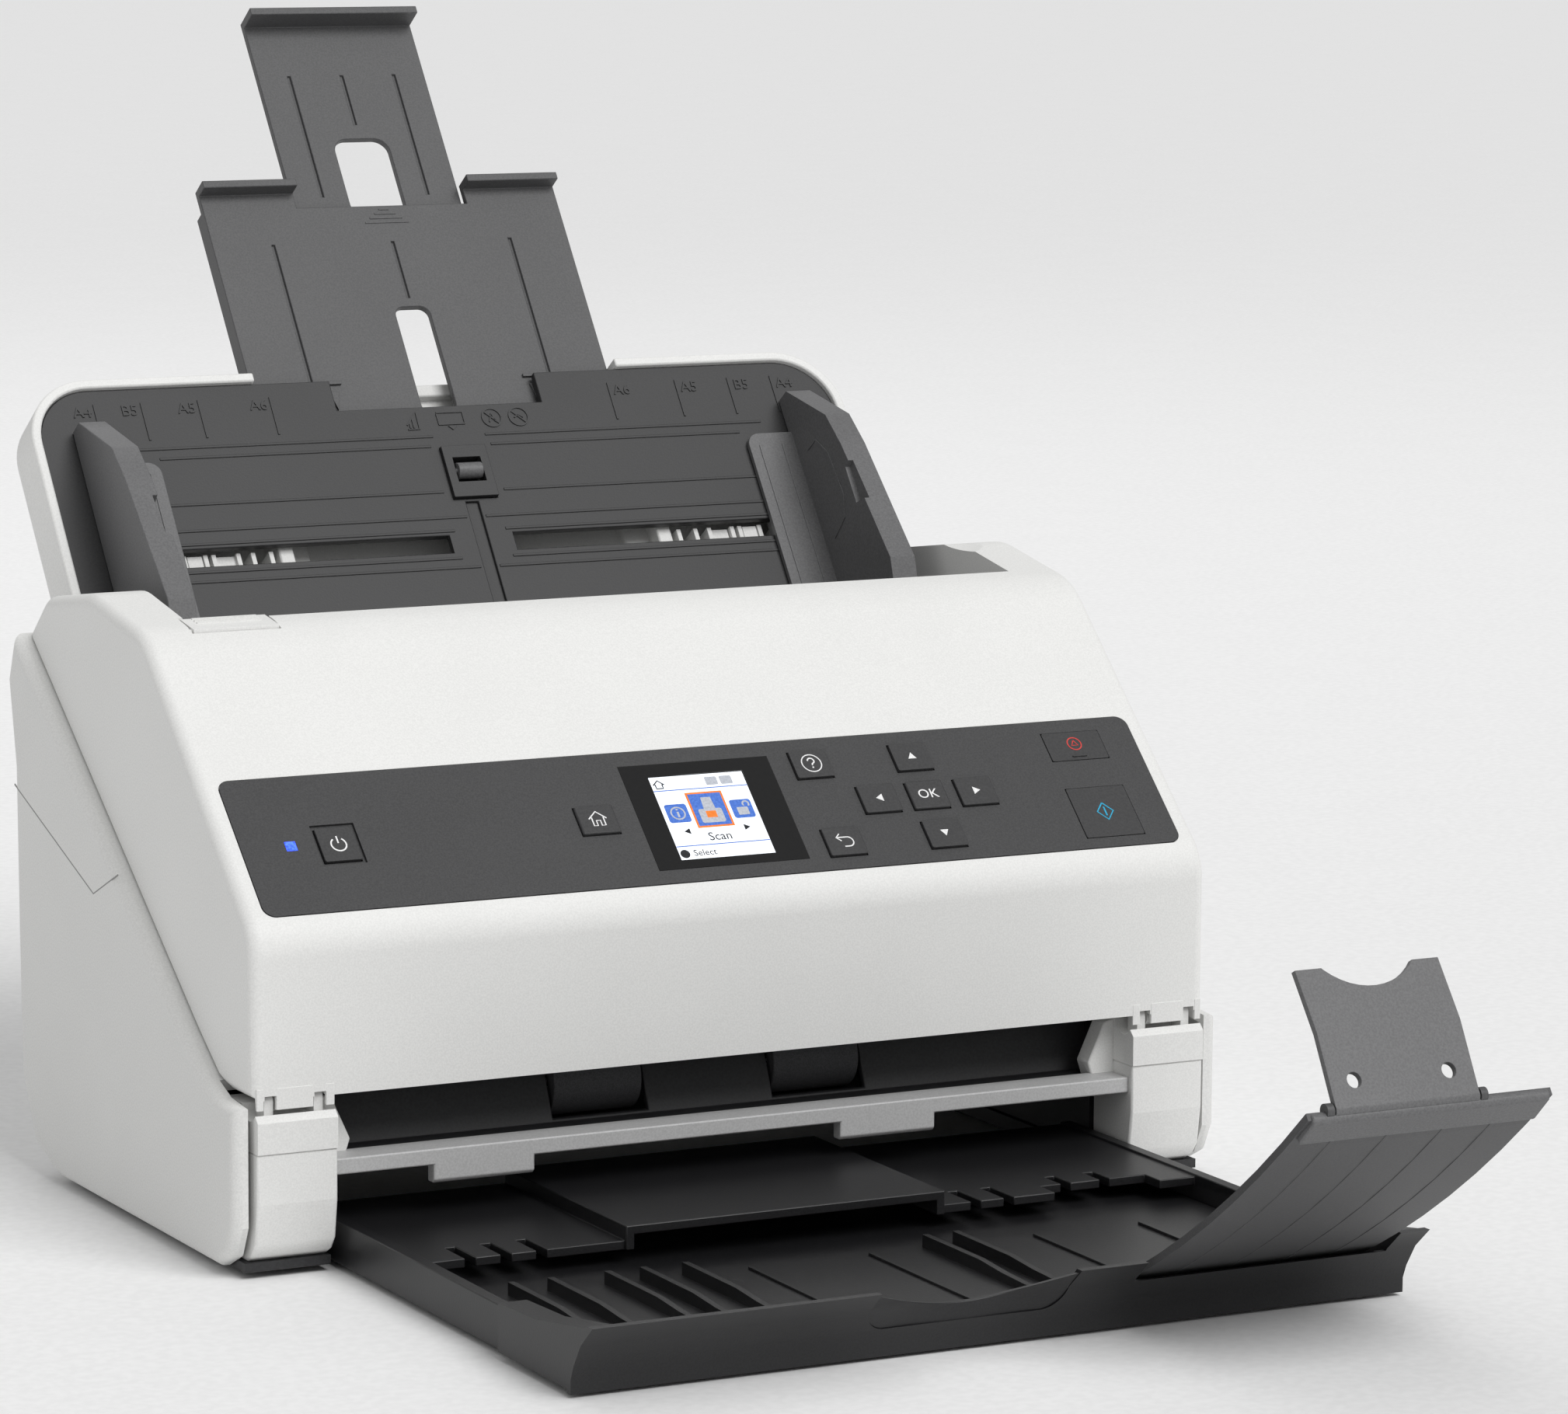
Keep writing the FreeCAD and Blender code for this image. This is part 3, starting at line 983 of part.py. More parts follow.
for item in doc.Objects:
    if "Invalid" in item.State or "Error" in item.State:
        raise RuntimeError(f"{item.Name}: {item.State}")
os.makedirs("parts", exist_ok=True)
for item in NODES:
    if item.Shape.isNull() or not item.Shape.isValid():
        raise RuntimeError(f"{item.Label} has no valid shape")
    item.Shape.exportStep(f"parts/{item.Label}.step")
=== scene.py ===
# %% [markdown]
# # A sheet fed document scanner
# A white desktop machine takes paper from a sloping tray at the top, pulls it down past two image
# sensors and lays it on a black tray that slides out at the front. The engineering model already has
# every piece in its right place, so it is loaded as a fixed frame. Everything below is dressed onto it.
# %% Load the engineering model
import json
from math import cos, radians, sin

import bmesh
import bpy
import numpy as np
from mathutils import Matrix, Vector


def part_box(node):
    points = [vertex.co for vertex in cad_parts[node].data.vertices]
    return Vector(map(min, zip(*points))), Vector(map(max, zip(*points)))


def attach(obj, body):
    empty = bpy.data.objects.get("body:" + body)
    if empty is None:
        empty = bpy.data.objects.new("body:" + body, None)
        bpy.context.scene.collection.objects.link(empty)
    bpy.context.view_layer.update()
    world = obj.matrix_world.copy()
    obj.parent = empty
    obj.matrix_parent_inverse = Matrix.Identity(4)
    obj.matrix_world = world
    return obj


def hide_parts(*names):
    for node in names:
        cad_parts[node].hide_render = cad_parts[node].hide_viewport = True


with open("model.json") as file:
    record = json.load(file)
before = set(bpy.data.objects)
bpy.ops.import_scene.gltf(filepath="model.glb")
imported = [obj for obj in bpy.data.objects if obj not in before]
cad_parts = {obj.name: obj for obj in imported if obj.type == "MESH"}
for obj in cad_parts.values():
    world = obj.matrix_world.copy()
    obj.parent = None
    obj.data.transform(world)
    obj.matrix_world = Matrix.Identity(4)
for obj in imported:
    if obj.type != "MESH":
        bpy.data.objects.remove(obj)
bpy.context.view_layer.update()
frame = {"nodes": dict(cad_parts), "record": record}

MM = 0.001
RECORD = frame["record"]
BODY_OF = {node: body for body, nodes in RECORD["behaviour"]["bodies"].items() for node in nodes}
SLOT_OF = {entry["node"]: entry["material_slot"] for entry in RECORD["subparts"]}
PIVOT = {joint["name"]: joint.get("pos_m") for joint in RECORD["behaviour"]["joints"]}

# %% [markdown]
# ## Colour and nodes
# Paint and plastic samples are compared on a screen, so each colour is written as the screen's sRGB
# hex value. A render adds up light, so one function turns hex into linear light. One more function
# adds a node to a material with its settings and its links.
# %% Colour and node helpers
def linear(text):
    """Linear RGBA of an sRGB hex value: the standard curve, straight near black and a 2.4 power above."""
    srgb = np.array([int(text[i:i + 2], 16) for i in (0, 2, 4)]) / 255
    light = np.where(srgb <= 0.04045, srgb / 12.92, ((srgb + 0.055) / 1.055) ** 2.4)
    return (*light.tolist(), 1.0)


def put(tree, kind, settings=None, links=None):
    """Adds a node. Settings are its properties or its sockets' values; links name sockets to feed."""
    item = tree.nodes.new(kind)
    for key, value in (settings or {}).items():
        if isinstance(key, int) or key in item.inputs:
            item.inputs[key].default_value = value
        else:
            setattr(item, key, value)
    for key, source in (links or {}).items():
        tree.links.new(source, item.inputs[key])
    return item


print("white in linear light", [round(part, 3) for part in linear("F0F0EE")[:3]])

# %% [markdown]
# ## Moulded plastics
# Nearly the whole machine is injection moulded. The mould's steel is spark eroded, which leaves a fine
# grain that breaks up highlights; a broad, very faint change of colour comes from the way the melt
# flowed. The real grain is about 0.1 mm, too fine to show at this distance, so it is drawn coarser.
# One function makes the family, because only colour, grain and gloss differ from piece to piece.
# %% Moulded plastic
def moulded(name, shade, light, rough, grain_mm, depth_mm, ior=1.5, coat=0.0, metal=0.0, glow=None):
    """A surface with two close colours mixed by slow and fine noise, and the fine noise as its bump.

    The slow noise has a wave of about 33 mm, since its scale is 30 to the metre, and a fifth of its
    value is added to the fine one. The mix spans 0.45 to 0.75 of the sum, where most of it lies.
    """
    material = bpy.data.materials.new(name)
    material.use_nodes = True
    tree = material.node_tree
    shader = tree.nodes["Principled BSDF"]
    shader.inputs["IOR"].default_value = ior
    shader.inputs["Metallic"].default_value = metal
    shader.inputs["Coat Weight"].default_value = coat
    place = put(tree, "ShaderNodeTexCoord").outputs["Object"]
    slow = put(tree, "ShaderNodeTexNoise", {"Scale": 30.0, "Detail": 3.0}, {"Vector": place})
    fine = put(tree, "ShaderNodeTexNoise", {"Scale": 1 / (grain_mm * MM), "Detail": 2.0}, {"Vector": place})
    sum_of = put(tree, "ShaderNodeMath", {"operation": "MULTIPLY_ADD", 1: 0.2},
                 {0: slow.outputs["Fac"], 2: fine.outputs["Fac"]})
    ramp = put(tree, "ShaderNodeValToRGB", None, {"Fac": sum_of.outputs[0]})
    ramp.color_ramp.elements[0].position, ramp.color_ramp.elements[1].position = 0.45, 0.75
    ramp.color_ramp.elements[0].color, ramp.color_ramp.elements[1].color = linear(shade), linear(light)
    tree.links.new(ramp.outputs["Color"], shader.inputs["Base Color"])
    gloss = put(tree, "ShaderNodeMapRange", {"To Min": rough - 0.05, "To Max": rough + 0.05},
                {"Value": fine.outputs["Fac"]})
    tree.links.new(gloss.outputs["Result"], shader.inputs["Roughness"])
    bump = put(tree, "ShaderNodeBump", {"Strength": 0.5, "Distance": depth_mm * MM},
               {"Height": fine.outputs["Fac"]})
    tree.links.new(bump.outputs["Normal"], shader.inputs["Normal"])
    if glow:
        tree.links.new(ramp.outputs["Color"], shader.inputs["Emission Color"])
        shader.inputs["Emission Strength"].default_value = glow
    material.diffuse_color = linear(light)
    return material


# ABS is near 1.53, polycarbonate 1.58 and rubber 1.52 in refractive index.
LOOKS = {
    # Spark-eroded white ABS: the light spreads wide and no reflection has an edge.
    "shell_white": moulded("white_abs_spark_eroded", "E4E4E2", "EDEDEB", 0.55, 0.5, 0.03, 1.53),
    # The side covers are the same white ABS, drawn a little darker than the front as painted shade of the
    # sides.
    "shell_white_side": moulded("white_abs_side_covers_painted_shade", "DEDEDC", "E8E8E6", 0.58, 0.5, 0.03, 1.53),
    # Charcoal ABS with a coarser erosion, seen as a sparkle of lighter points.
    "panel_charcoal": moulded("charcoal_abs_panel", "313132", "3F3F40", 0.5, 0.45, 0.05, 1.53),
    "key_charcoal": moulded("charcoal_abs_satin_keys", "303031", "39393A", 0.4, 0.6, 0.02, 1.53),
    "tray_charcoal": moulded("charcoal_abs_paper_plate", "202021", "2C2C2D", 0.5, 0.5, 0.05, 1.53),
    "guide_grey": moulded("grey_abs_guides", "5E5E5F", "6C6C6D", 0.5, 0.55, 0.04, 1.53),
    "extension_grey": moulded("grey_abs_extensions", "464647", "545455", 0.5, 0.5, 0.05, 1.53),
    "output_black": moulded("black_abs_output_tray", "101012", "1A1A1C", 0.42, 0.55, 0.05, 1.53),
    "stopper_grey": moulded("grey_abs_stopper", "454546", "515152", 0.5, 0.5, 0.05, 1.53),
    "bar_grey": moulded("light_grey_abs_guide_bar", "B4B4B4", "C0C0C0", 0.5, 0.55, 0.03, 1.53),
    "frame_black": moulded("glass_filled_black_frame", "1D1D1F", "2A2A2C", 0.55, 0.7, 0.06, 1.57),
    # Polished acrylic over black print: sharp reflections from a smooth face.
    "bezel_black": moulded("polished_acrylic_bezel", "050506", "080809", 0.12, 1.2, 0.002, 1.49, coat=0.2),
    "display": moulded("lit_display", "E6ECF4", "F3F6FA", 0.3, 1.5, 0.002, 1.49, glow=0.55),
    "indicator_blue": moulded("lit_blue_indicator", "1E3BF0", "3A5BFF", 0.3, 0.8, 0.01, 1.58, glow=2.2),
    "sensor_glass": moulded("sensor_glass_over_black", "0E1413", "141B1A", 0.1, 1.2, 0.002, 1.52, coat=0.5),
    # Ground rubber tyres and feet have a dull, dusty surface.
    "roller_rubber": moulded("ground_rubber_tyres", "3A3A3C", "4A4A4C", 0.75, 0.4, 0.06, 1.52),
    "foot_rubber": moulded("moulded_rubber_feet", "242425", "303031", 0.8, 0.6, 0.05, 1.52),
    "belt_rubber": moulded("toothed_belt_rubber", "1A1A1B", "252526", 0.75, 0.8, 0.06, 1.52),
    # Turned and plated steel keeps the default refractive index.
    "shaft_steel": moulded("ground_steel_shaft", "A8A9AC", "C2C3C6", 0.28, 0.4, 0.01, metal=1.0),
    "screw_steel": moulded("zinc_plated_screws", "9C9DA0", "B8B9BC", 0.35, 0.4, 0.01, metal=1.0),
    "motor_steel": moulded("pressed_steel_motor_can", "8E8F93", "A9AAAE", 0.38, 0.6, 0.02, metal=1.0),
    "socket_metal": moulded("nickel_plated_socket", "A5A6A8", "BFC0C2", 0.3, 0.5, 0.01, metal=1.0),
    "board_green": moulded("green_circuit_board", "12402A", "1B5537", 0.4, 1.5, 0.02, 1.55),
}
# Ink is pad printed on the keys. The display's colours are lit tiles under its clear front.
INKS = {
    # The white ink has a faint glow, painted light that keeps it bright; the printed ink itself gives off
    # no light.
    "white": moulded("white_key_ink_painted_glow", "DADADA", "EDEDED", 0.45, 0.4, 0.005, glow=0.15),
    "red": moulded("red_key_ink", "C8322E", "DE443C", 0.45, 0.4, 0.005),
    "cyan": moulded("cyan_key_ink", "169CC4", "26B2DA", 0.45, 0.4, 0.005),
    "blue": moulded("screen_blue", "3A62B4", "4A74C8", 0.3, 0.6, 0.002, 1.49, glow=0.35),
    "orange": moulded("screen_orange", "E07020", "EE8030", 0.3, 0.6, 0.002, 1.49, glow=0.35),
    "black": moulded("screen_black", "16181C", "22252A", 0.3, 0.6, 0.002, 1.49),
    "grey": moulded("screen_grey", "A4A8B0", "B4B8C0", 0.3, 0.6, 0.002, 1.49, glow=0.3),
    "gap": moulded("shadow_gap_plastic", "8A8A89", "989897", 0.7, 0.6, 0.01),
}
print(len(LOOKS), "finishes and", len(INKS), "inks")

# %% [markdown]
# ## Working frames
# The panel, the paper tray and the two stoppers stand at a slope. Details are drawn in each unit's own
# frame: x across the machine, up along the slope and out of the surface. The origins are worked out
# from the loaded pieces and joints. Slopes, and places within a frame, are fixed sizes.
# %% Frames of the sloping units
def corner(node, side):
    """Depth and height, in millimetres, of a node's lowest (0) or highest (1) corner."""
    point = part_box(node)[side]
    return point[1] / MM, point[2] / MM


# Slopes in degrees from the flat.
PANEL_SLOPE, TRAY_SLOPE, STOPPER_SLOPE, SUB_SLOPE = 42.8, 53.8, 146.0, 61.0
# How far the panel's face stands out of its origin and its back lies under it, and how far the plate's
# lower and upper corners lie from its origin along the slope.
PANEL_PROUD, PANEL_UNDER, PLATE_BELOW, PLATE_ABOVE = 0.2, 1.4, 83, 5.0
panel_low = corner("control_panel", 0)
plate_low, plate_high = corner("input_tray_plate", 0), corner("input_tray_plate", 1)
panel_turn, tray_turn = radians(PANEL_SLOPE), radians(TRAY_SLOPE)
FRAMES = {
    "panel": (panel_low[0] + PANEL_PROUD * sin(panel_turn), panel_low[1] + PANEL_UNDER * cos(panel_turn),
              PANEL_SLOPE),
    "tray": (plate_low[0] + PLATE_BELOW * cos(tray_turn), plate_high[1] - PLATE_ABOVE * sin(tray_turn),
             TRAY_SLOPE),
    "stopper": (PIVOT["stopper_hinge"][1] / MM, PIVOT["stopper_hinge"][2] / MM, STOPPER_SLOPE),
    "sub": (PIVOT["sub_stopper_hinge"][1] / MM, PIVOT["sub_stopper_hinge"][2] / MM, SUB_SLOPE),
    # The machine's own depth, counted from the front cover's face.
    "body": (corner("front_cover", 0)[0], 0.0, 0.0),
}


def placed(where, x, up, out):
    """World points in metres of (x, up, out) millimetres in a frame: a turn about x, then its origin."""
    depth, height, slope = FRAMES[where]
    turn = radians(slope)
    x, up, out = np.broadcast_arrays(np.asarray(x, float), np.asarray(up, float), np.asarray(out, float))
    return np.stack([x, depth + up * cos(turn) - out * sin(turn),
                     height + up * sin(turn) + out * cos(turn)], -1) * MM


for title, (depth, height, slope) in FRAMES.items():
    print(f"{title}: y {depth:.1f}, z {height:.1f} mm, {slope} degrees")

# %% [markdown]
# ## Surfaces from numpy
# A raised mark, a rib or a key symbol is one closed outline carried along a direction: a stack of rings
# with quads between them and a cap at each end. A stroke is the outline round a bent line, half a pen
# width to each side. Everything small on this machine but its lettering is one of these two.
# %% Rings, strokes and pieces
def carried(rings):
    """One closed lump from rings (count, points, 3): quads join ring to ring and caps close the ends."""
    count, points = rings.shape[:2]
    index = np.arange(count * points).reshape(count, points)
    ahead = np.roll(index, -1, axis=1)
    quads = np.stack([index[:-1], ahead[:-1], ahead[1:], index[1:]], -1).reshape(-1, 4)
    return rings.reshape(-1, 3), quads.tolist() + [index[0][::-1].tolist(), index[-1].tolist()]


def slabbed(where, outline, low, high, axis="out"):
    """A lump from a flat outline: drawn in (x, up) and carried out, or in (up, out) and carried along x."""
    outline = np.asarray(outline, float)
    levels = np.array([low, high], float)[:, None]
    if axis == "out":
        return carried(placed(where, outline[None, :, 0], outline[None, :, 1], levels))
    return carried(placed(where, levels, outline[None, :, 0], outline[None, :, 1]))


def stroke(points, width):
    """Outline round a bent line: each point is moved half the width along the mean normal, out and back."""
    points = np.asarray(points, float)
    along = np.gradient(points, axis=0)
    along /= np.linalg.norm(along, axis=1)[:, None]
    side = np.stack([-along[:, 1], along[:, 0]], -1) * width / 2
    return np.concatenate([points + side, (points - side)[::-1]])


def arc(x, y, radius, start, end, steps=28):
    """Points on an arc: centre plus the radius times cosine and sine of evenly spaced angles."""
    angle = np.radians(np.linspace(start, end, steps))
    return np.stack([x + radius * np.cos(angle), y + radius * np.sin(angle)], -1)


def oblong(x0, x1, y0, y1, radius=0.0):
    """A rectangle's outline, with quarter circles of the radius at its corners."""
    if radius == 0:
        return np.array([(x0, y0), (x1, y0), (x1, y1), (x0, y1)], float)
    spots = [(x1 - radius, y0 + radius, -90), (x1 - radius, y1 - radius, 0),
             (x0 + radius, y1 - radius, 90), (x0 + radius, y0 + radius, 180)]
    return np.concatenate([arc(x, y, radius, start, start + 90, 7) for x, y, start in spots])


def finish_piece(name, mesh, material, body, bevel=0.0, angle=32):
    """Puts a mesh on a body with its finish, a small bevel on its sharp edges, and smooth shading."""
    mesh.materials.clear()
    mesh.materials.append(material)
    piece = bpy.data.objects.new(name, mesh)
    bpy.context.scene.collection.objects.link(piece)
    mesh.shade_smooth()
    mesh.set_sharp_from_angle(angle=radians(angle))
    if bevel:
        edge = piece.modifiers.new("edge_round", "BEVEL")
        edge.width, edge.segments, edge.limit_method = bevel * MM, 2, "ANGLE"
        edge.angle_limit, edge.use_clamp_overlap, edge.harden_normals = radians(angle), True, False
        even = piece.modifiers.new("even_light", "WEIGHTED_NORMAL")
        even.keep_sharp, even.weight = True, 60
    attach(piece, body)
    return piece


def joined_mesh(name, lumps):
    """Joins lumps, which are (points, faces) pairs, into one mesh whose faces all point outwards."""
    points, faces, start = [], [], 0
    for lump_points, lump_faces in lumps:
        points.append(lump_points)
        faces += [[start + corner_index for corner_index in face] for face in lump_faces]
        start += len(lump_points)
    mesh = bpy.data.meshes.new(name)
    mesh.from_pydata(np.concatenate(points), [], faces)
    work = bmesh.new()
    work.from_mesh(mesh)
    bmesh.ops.recalc_face_normals(work, faces=work.faces)
    work.to_mesh(mesh)
    work.free()
    return mesh


def make_piece(name, lumps, material, body, bevel=0.0):
    """One finished piece on a body, from lumps."""
    return finish_piece(name, joined_mesh(name, lumps), material, body, bevel)


print("a ring of radius 2:", len(arc(0, 0, 2, 0, 360)), "points")

# %% [markdown]
# ## Softened mouldings
# The engineering pieces have the right shapes, but their edges are razor sharp, and no mould gives
# that. Each visible piece is copied, its loose triangles are merged, flat faces are dissolved into one,
# and a bevel of a few tenths of a millimetre catches the light along each edge. The copy takes the
# original's place. Inner pieces that hardly show keep their mesh and only get their finish.
# %% Merged copies with soft edges
def merged_mesh(node):
    """A copy of a node's mesh with its doubles merged and its flat areas joined."""
    mesh = frame["nodes"][node].data.copy()
    work = bmesh.new()
    work.from_mesh(mesh)
    bmesh.ops.remove_doubles(work, verts=work.verts, dist=0.000002)
    bmesh.ops.dissolve_limit(work, angle_limit=radians(0.8), verts=work.verts, edges=work.edges)
    work.to_mesh(mesh)
    work.free()
    return mesh


def carve(mesh, lumps):
    """The mesh less the lumps, which are joined as one cutter, by an exact boolean that is applied."""
    blank = bpy.data.objects.new("blank", mesh)
    tool = bpy.data.objects.new("cutter", joined_mesh("cutter", lumps))
    for item in (blank, tool):
        bpy.context.scene.collection.objects.link(item)
    cutting = blank.modifiers.new("cut", "BOOLEAN")
    cutting.operation, cutting.solver, cutting.object = "DIFFERENCE", "EXACT", tool
    bpy.context.view_layer.update()
    result = bpy.data.meshes.new_from_object(blank.evaluated_get(bpy.context.evaluated_depsgraph_get()))
    for item in (blank, tool):
        bpy.data.objects.remove(item)
    return result


# %% [markdown]
# Two mouldings have hollows that the engineering model leaves out: the finger dish in the right cheek
# and the concave arc at the top of the small stopper. The dish is cut with an ellipsoid, worked out on
# a grid of two angles, and the arc with a round bar.
# %% Hollows and copies
def ellipsoid(centre, radii, turn):
    """A closed lump: centre plus radii times (cos v cos u, cos v sin u, sin v), turned about the x axis."""
    v = np.radians(np.linspace(-89.9, 89.9, 24)[:, None])
    u = np.radians(np.linspace(0, 360, 40, endpoint=False)[None, :])
    x = radii[0] * np.cos(v) * np.cos(u)
    y = radii[1] * np.cos(v) * np.sin(u)
    z = radii[2] * np.sin(v) + 0 * u
    turn = radians(turn)
    y, z = y * cos(turn) - z * sin(turn), y * sin(turn) + z * cos(turn)
    return carried(placed("body", centre[0] + x, centre[1] + y, centre[2] + z))


CUTS = {
    "front_cover": [ellipsoid((122, 104, 170.2), (15.0, 27, 6.4), -6)],
    "sub_stopper": [slabbed("sub", arc(65.5, 47.5, 17.5, 0, 352, 45), -20, 20)],
}
# Bevel width in millimetres, and the angle in degrees between faces above which an edge gets it.
SOFT = {
    "front_cover": (0.7, 38), "left_side_cover": (0.8, 38), "right_side_cover": (0.8, 38),
    "rear_cover": (0.6, 38), "left_pillar": (0.6, 34), "right_pillar": (0.6, 34),
    "left_hinge_cap": (0.6, 34), "right_hinge_cap": (0.6, 34),
    "exit_guide_bar": (0.4, 34), "exit_panel": (0.3, 34), "input_tray_shell": (0.6, 34),
    "input_tray_plate": (0.25, 34), "detector_housing": (0.25, 34), "detector_roller": (0.15, 40),
    "tray_extension": (0.25, 34), "tray_sub_extension": (0.25, 34), "left_edge_guide": (0.5, 34),
    "right_edge_guide": (0.5, 34), "output_tray": (0.3, 34), "output_tray_extension": (0.3, 34),
    "stopper": (0.4, 34), "sub_stopper": (0.3, 34), "release_lever": (0.4, 34), "control_panel": (0.15, 34),
    "lcd_bezel": (0.15, 34), "lcd_screen": (0.05, 34), "status_led": (0.1, 34), "rubber_feet": (0.4, 34),
    "usb_port": (0.2, 34), "dc_inlet": (0.2, 34), "case_screws": (0.15, 34), "base_frame": (0.3, 34),
    "exit_tyres": (0.3, 40),
}
KEYS = ("power", "home", "help", "back", "up", "left", "ok", "right", "down", "stop", "start")
FLUSH_KEYS = ("power", "stop", "start")
SOFT.update({key + "_key": (0.12 if key in FLUSH_KEYS else 0.5, 34) for key in KEYS})
for node, original in frame["nodes"].items():
    finish = LOOKS[SLOT_OF[node]]
    if node not in SOFT:
        original.data.materials.clear()
        original.data.materials.append(finish)
        continue
    soft_mesh = merged_mesh(node)
    if node in CUTS:
        soft_mesh = carve(soft_mesh, CUTS[node])
    width, angle = SOFT[node]
    copy = finish_piece(node + "_moulding", soft_mesh, finish, BODY_OF[node], width, angle)
    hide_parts(node)
print(len(SOFT), "pieces have soft edges")

# %% [markdown]
# ## Key symbols
# The symbols are pad printed on the key caps. They are made as very thin raised prints, a few
# hundredths of a millimetre thick, because a real shape stays sharp at any distance and rides on its
# own key. Curved symbols are strokes along arcs and the arrows are triangles. Only the letters of the
# middle key come from Blender's own font, made a mesh and then put between the same two levels.
# %% Printed symbols
KEY_AT = {"power": (-109.6, 21.5), "home": (-34.7, 22.4), "help": (34.4, 35.6), "back": (34.4, 8.8),
          "up": (65.3, 35.6), "left": (50.25, 22.2), "ok": (65.3, 22.2), "right": (80.35, 22.2),
          "down": (65.3, 8.8), "stop": (117.3, 35.4), "start": (117.3, 12.1)}
# Heights above the panel frame's origin of the proud and the flush keys, the ink's own thickness, how
# deep a print starts under the surface it lies on, and a capital's height as a share of the font size.
PROUD, FLUSH, PRINT, ROOT, CAPITAL = 1.1, 0.35, 0.05, 0.02, 0.7


def shifted(outline, x, y):
    """An outline moved to (x, y)."""
    return np.asarray(outline, float) + (x, y)


def lettering(name, words, where, x, up, height, low, high, material, body, slot, centred=True):
    """Text as a thin raised mesh: its flat outlines are placed in the frame, between two levels."""
    text = bpy.data.curves.new(name, "FONT")
    text.body, text.size = words, height / CAPITAL
    text.align_x, text.align_y = ("CENTER" if centred else "LEFT"), "CENTER"
    text.extrude, text.resolution_u = 0.5, 3
    holder = bpy.data.objects.new(name, text)
    bpy.context.scene.collection.objects.link(holder)
    bpy.context.view_layer.update()
    mesh = bpy.data.meshes.new_from_object(holder.evaluated_get(bpy.context.evaluated_depsgraph_get()))
    bpy.data.objects.remove(holder)
    flat = np.empty(len(mesh.vertices) * 3)
    mesh.vertices.foreach_get("co", flat)
    flat = flat.reshape(-1, 3)
    spot = placed(where, x + flat[:, 0], up + flat[:, 1], np.where(flat[:, 2] > 0, high, low))
    mesh.vertices.foreach_set("co", spot.ravel())
    work = bmesh.new()
    work.from_mesh(mesh)
    bmesh.ops.remove_doubles(work, verts=work.verts, dist=0.0000005)
    bmesh.ops.recalc_face_normals(work, faces=work.faces)
    work.to_mesh(mesh)
    work.free()
    return finish_piece(name, mesh, material, body)


def prints(key, outlines, ink):
    """Thin prints on a key's top face, from outlines drawn round the key's middle."""
    top = FLUSH if key in FLUSH_KEYS else PROUD
    lumps = [slabbed("panel", shifted(outline, *KEY_AT[key]), top - ROOT, top + PRINT)
             for outline in outlines]
    return make_piece(key + "_symbol", lumps, INKS[ink], key)


ARROW = np.array([(-1.25, -0.95), (1.25, -0.95), (0, 1.15)])
QUARTER = np.array([(0, -1), (1, 0)])
prints("power", [stroke(arc(0, -0.2, 2.1, 125, 415, 30), 0.42), oblong(-0.21, 0.21, 0.2, 2.5)], "white")
HOUSE = [(-2.6, 0.1), (0, 2.5), (2.6, 0.1)]
WALLS = [(-1.7, 0.6), (-1.7, -2.2), (-0.6, -2.2), (-0.6, -0.5), (0.6, -0.5), (0.6, -2.2), (1.7, -2.2),
         (1.7, 0.6)]
prints("home", [stroke(HOUSE, 0.38), stroke(WALLS, 0.36)], "white")
QUERY = np.concatenate([arc(0, 0.75, 0.95, 175, -40, 14), [(0.15, -0.2), (0, -0.75)]])
prints("help", [stroke(arc(0, 0, 2.9, 0, 359, 40), 0.32), stroke(QUERY, 0.4),
                oblong(-0.22, 0.22, -1.65, -1.2)], "white")
BEND = np.concatenate([[(-2.2, 1.1)], arc(0.9, -0.45, 1.55, 90, -90, 14), [(-0.6, -2.0)]])
prints("back", [stroke([(-1.0, 2.3), (-2.3, 1.1), (-1.0, -0.1)], 0.36), stroke(BEND, 0.36)], "white")
for turns, key in enumerate(("up", "left", "down", "right")):
    prints(key, [ARROW @ np.linalg.matrix_power(QUARTER, turns).T], "white")
prints("stop", [stroke(arc(0, 0.7, 2.1, 0, 359, 40), 0.34),
                stroke(arc(0, 0.7, 1.15, 90, 449, 4), 0.34)], "red")
DIAMOND = [(0, 2.9), (2.5, 0), (0, -2.9), (-2.5, 0), (0, 2.9)]
prints("start", [stroke(DIAMOND, 0.42), oblong(-0.24, 0.24, -1.5, 1.5)], "cyan")
lettering("ok_mark", "OK", "panel", *KEY_AT["ok"], 3.0, PROUD - ROOT, PROUD + PRINT, INKS["white"], "ok",
          "key_charcoal")
ridge = slabbed("panel", oblong(115.0, 119.6, 31.5, 32.0, 0.2), FLUSH - 0.05, FLUSH + 0.35)
make_piece("stop_ridge", [ridge], LOOKS["key_charcoal"], "stop", 0.08)
print("symbols on", len(KEY_AT), "keys")

# %% [markdown]
# ## The display
# A colour display shows a menu. It is a set of thin tiles on the lit screen: a header with small
# signs, a large middle picture in an orange frame, a smaller one on each side, and a caption. The
# pictures are generic: a sheet above a box, a letter i in a disc, and a spanner-like hook.
# %% Screen tiles
# Middle of the screen on the panel, the level of its front, and the step from one tile level to the next.
SCREEN_X, SCREEN_Y, SCREEN_TOP, TILE_STEP = -0.8, 21.4, 0.1, 0.03


def tiles(name, outlines, ink, level=1):
    """Flat tiles on the screen, each level a few hundredths of a millimetre above the last."""
    low, high = SCREEN_TOP - ROOT, SCREEN_TOP + TILE_STEP * level
    lumps = [slabbed("panel", shifted(outline, SCREEN_X, SCREEN_Y), low, high) for outline in outlines]
    return make_piece("screen_" + name, lumps, INKS[ink], "cover")


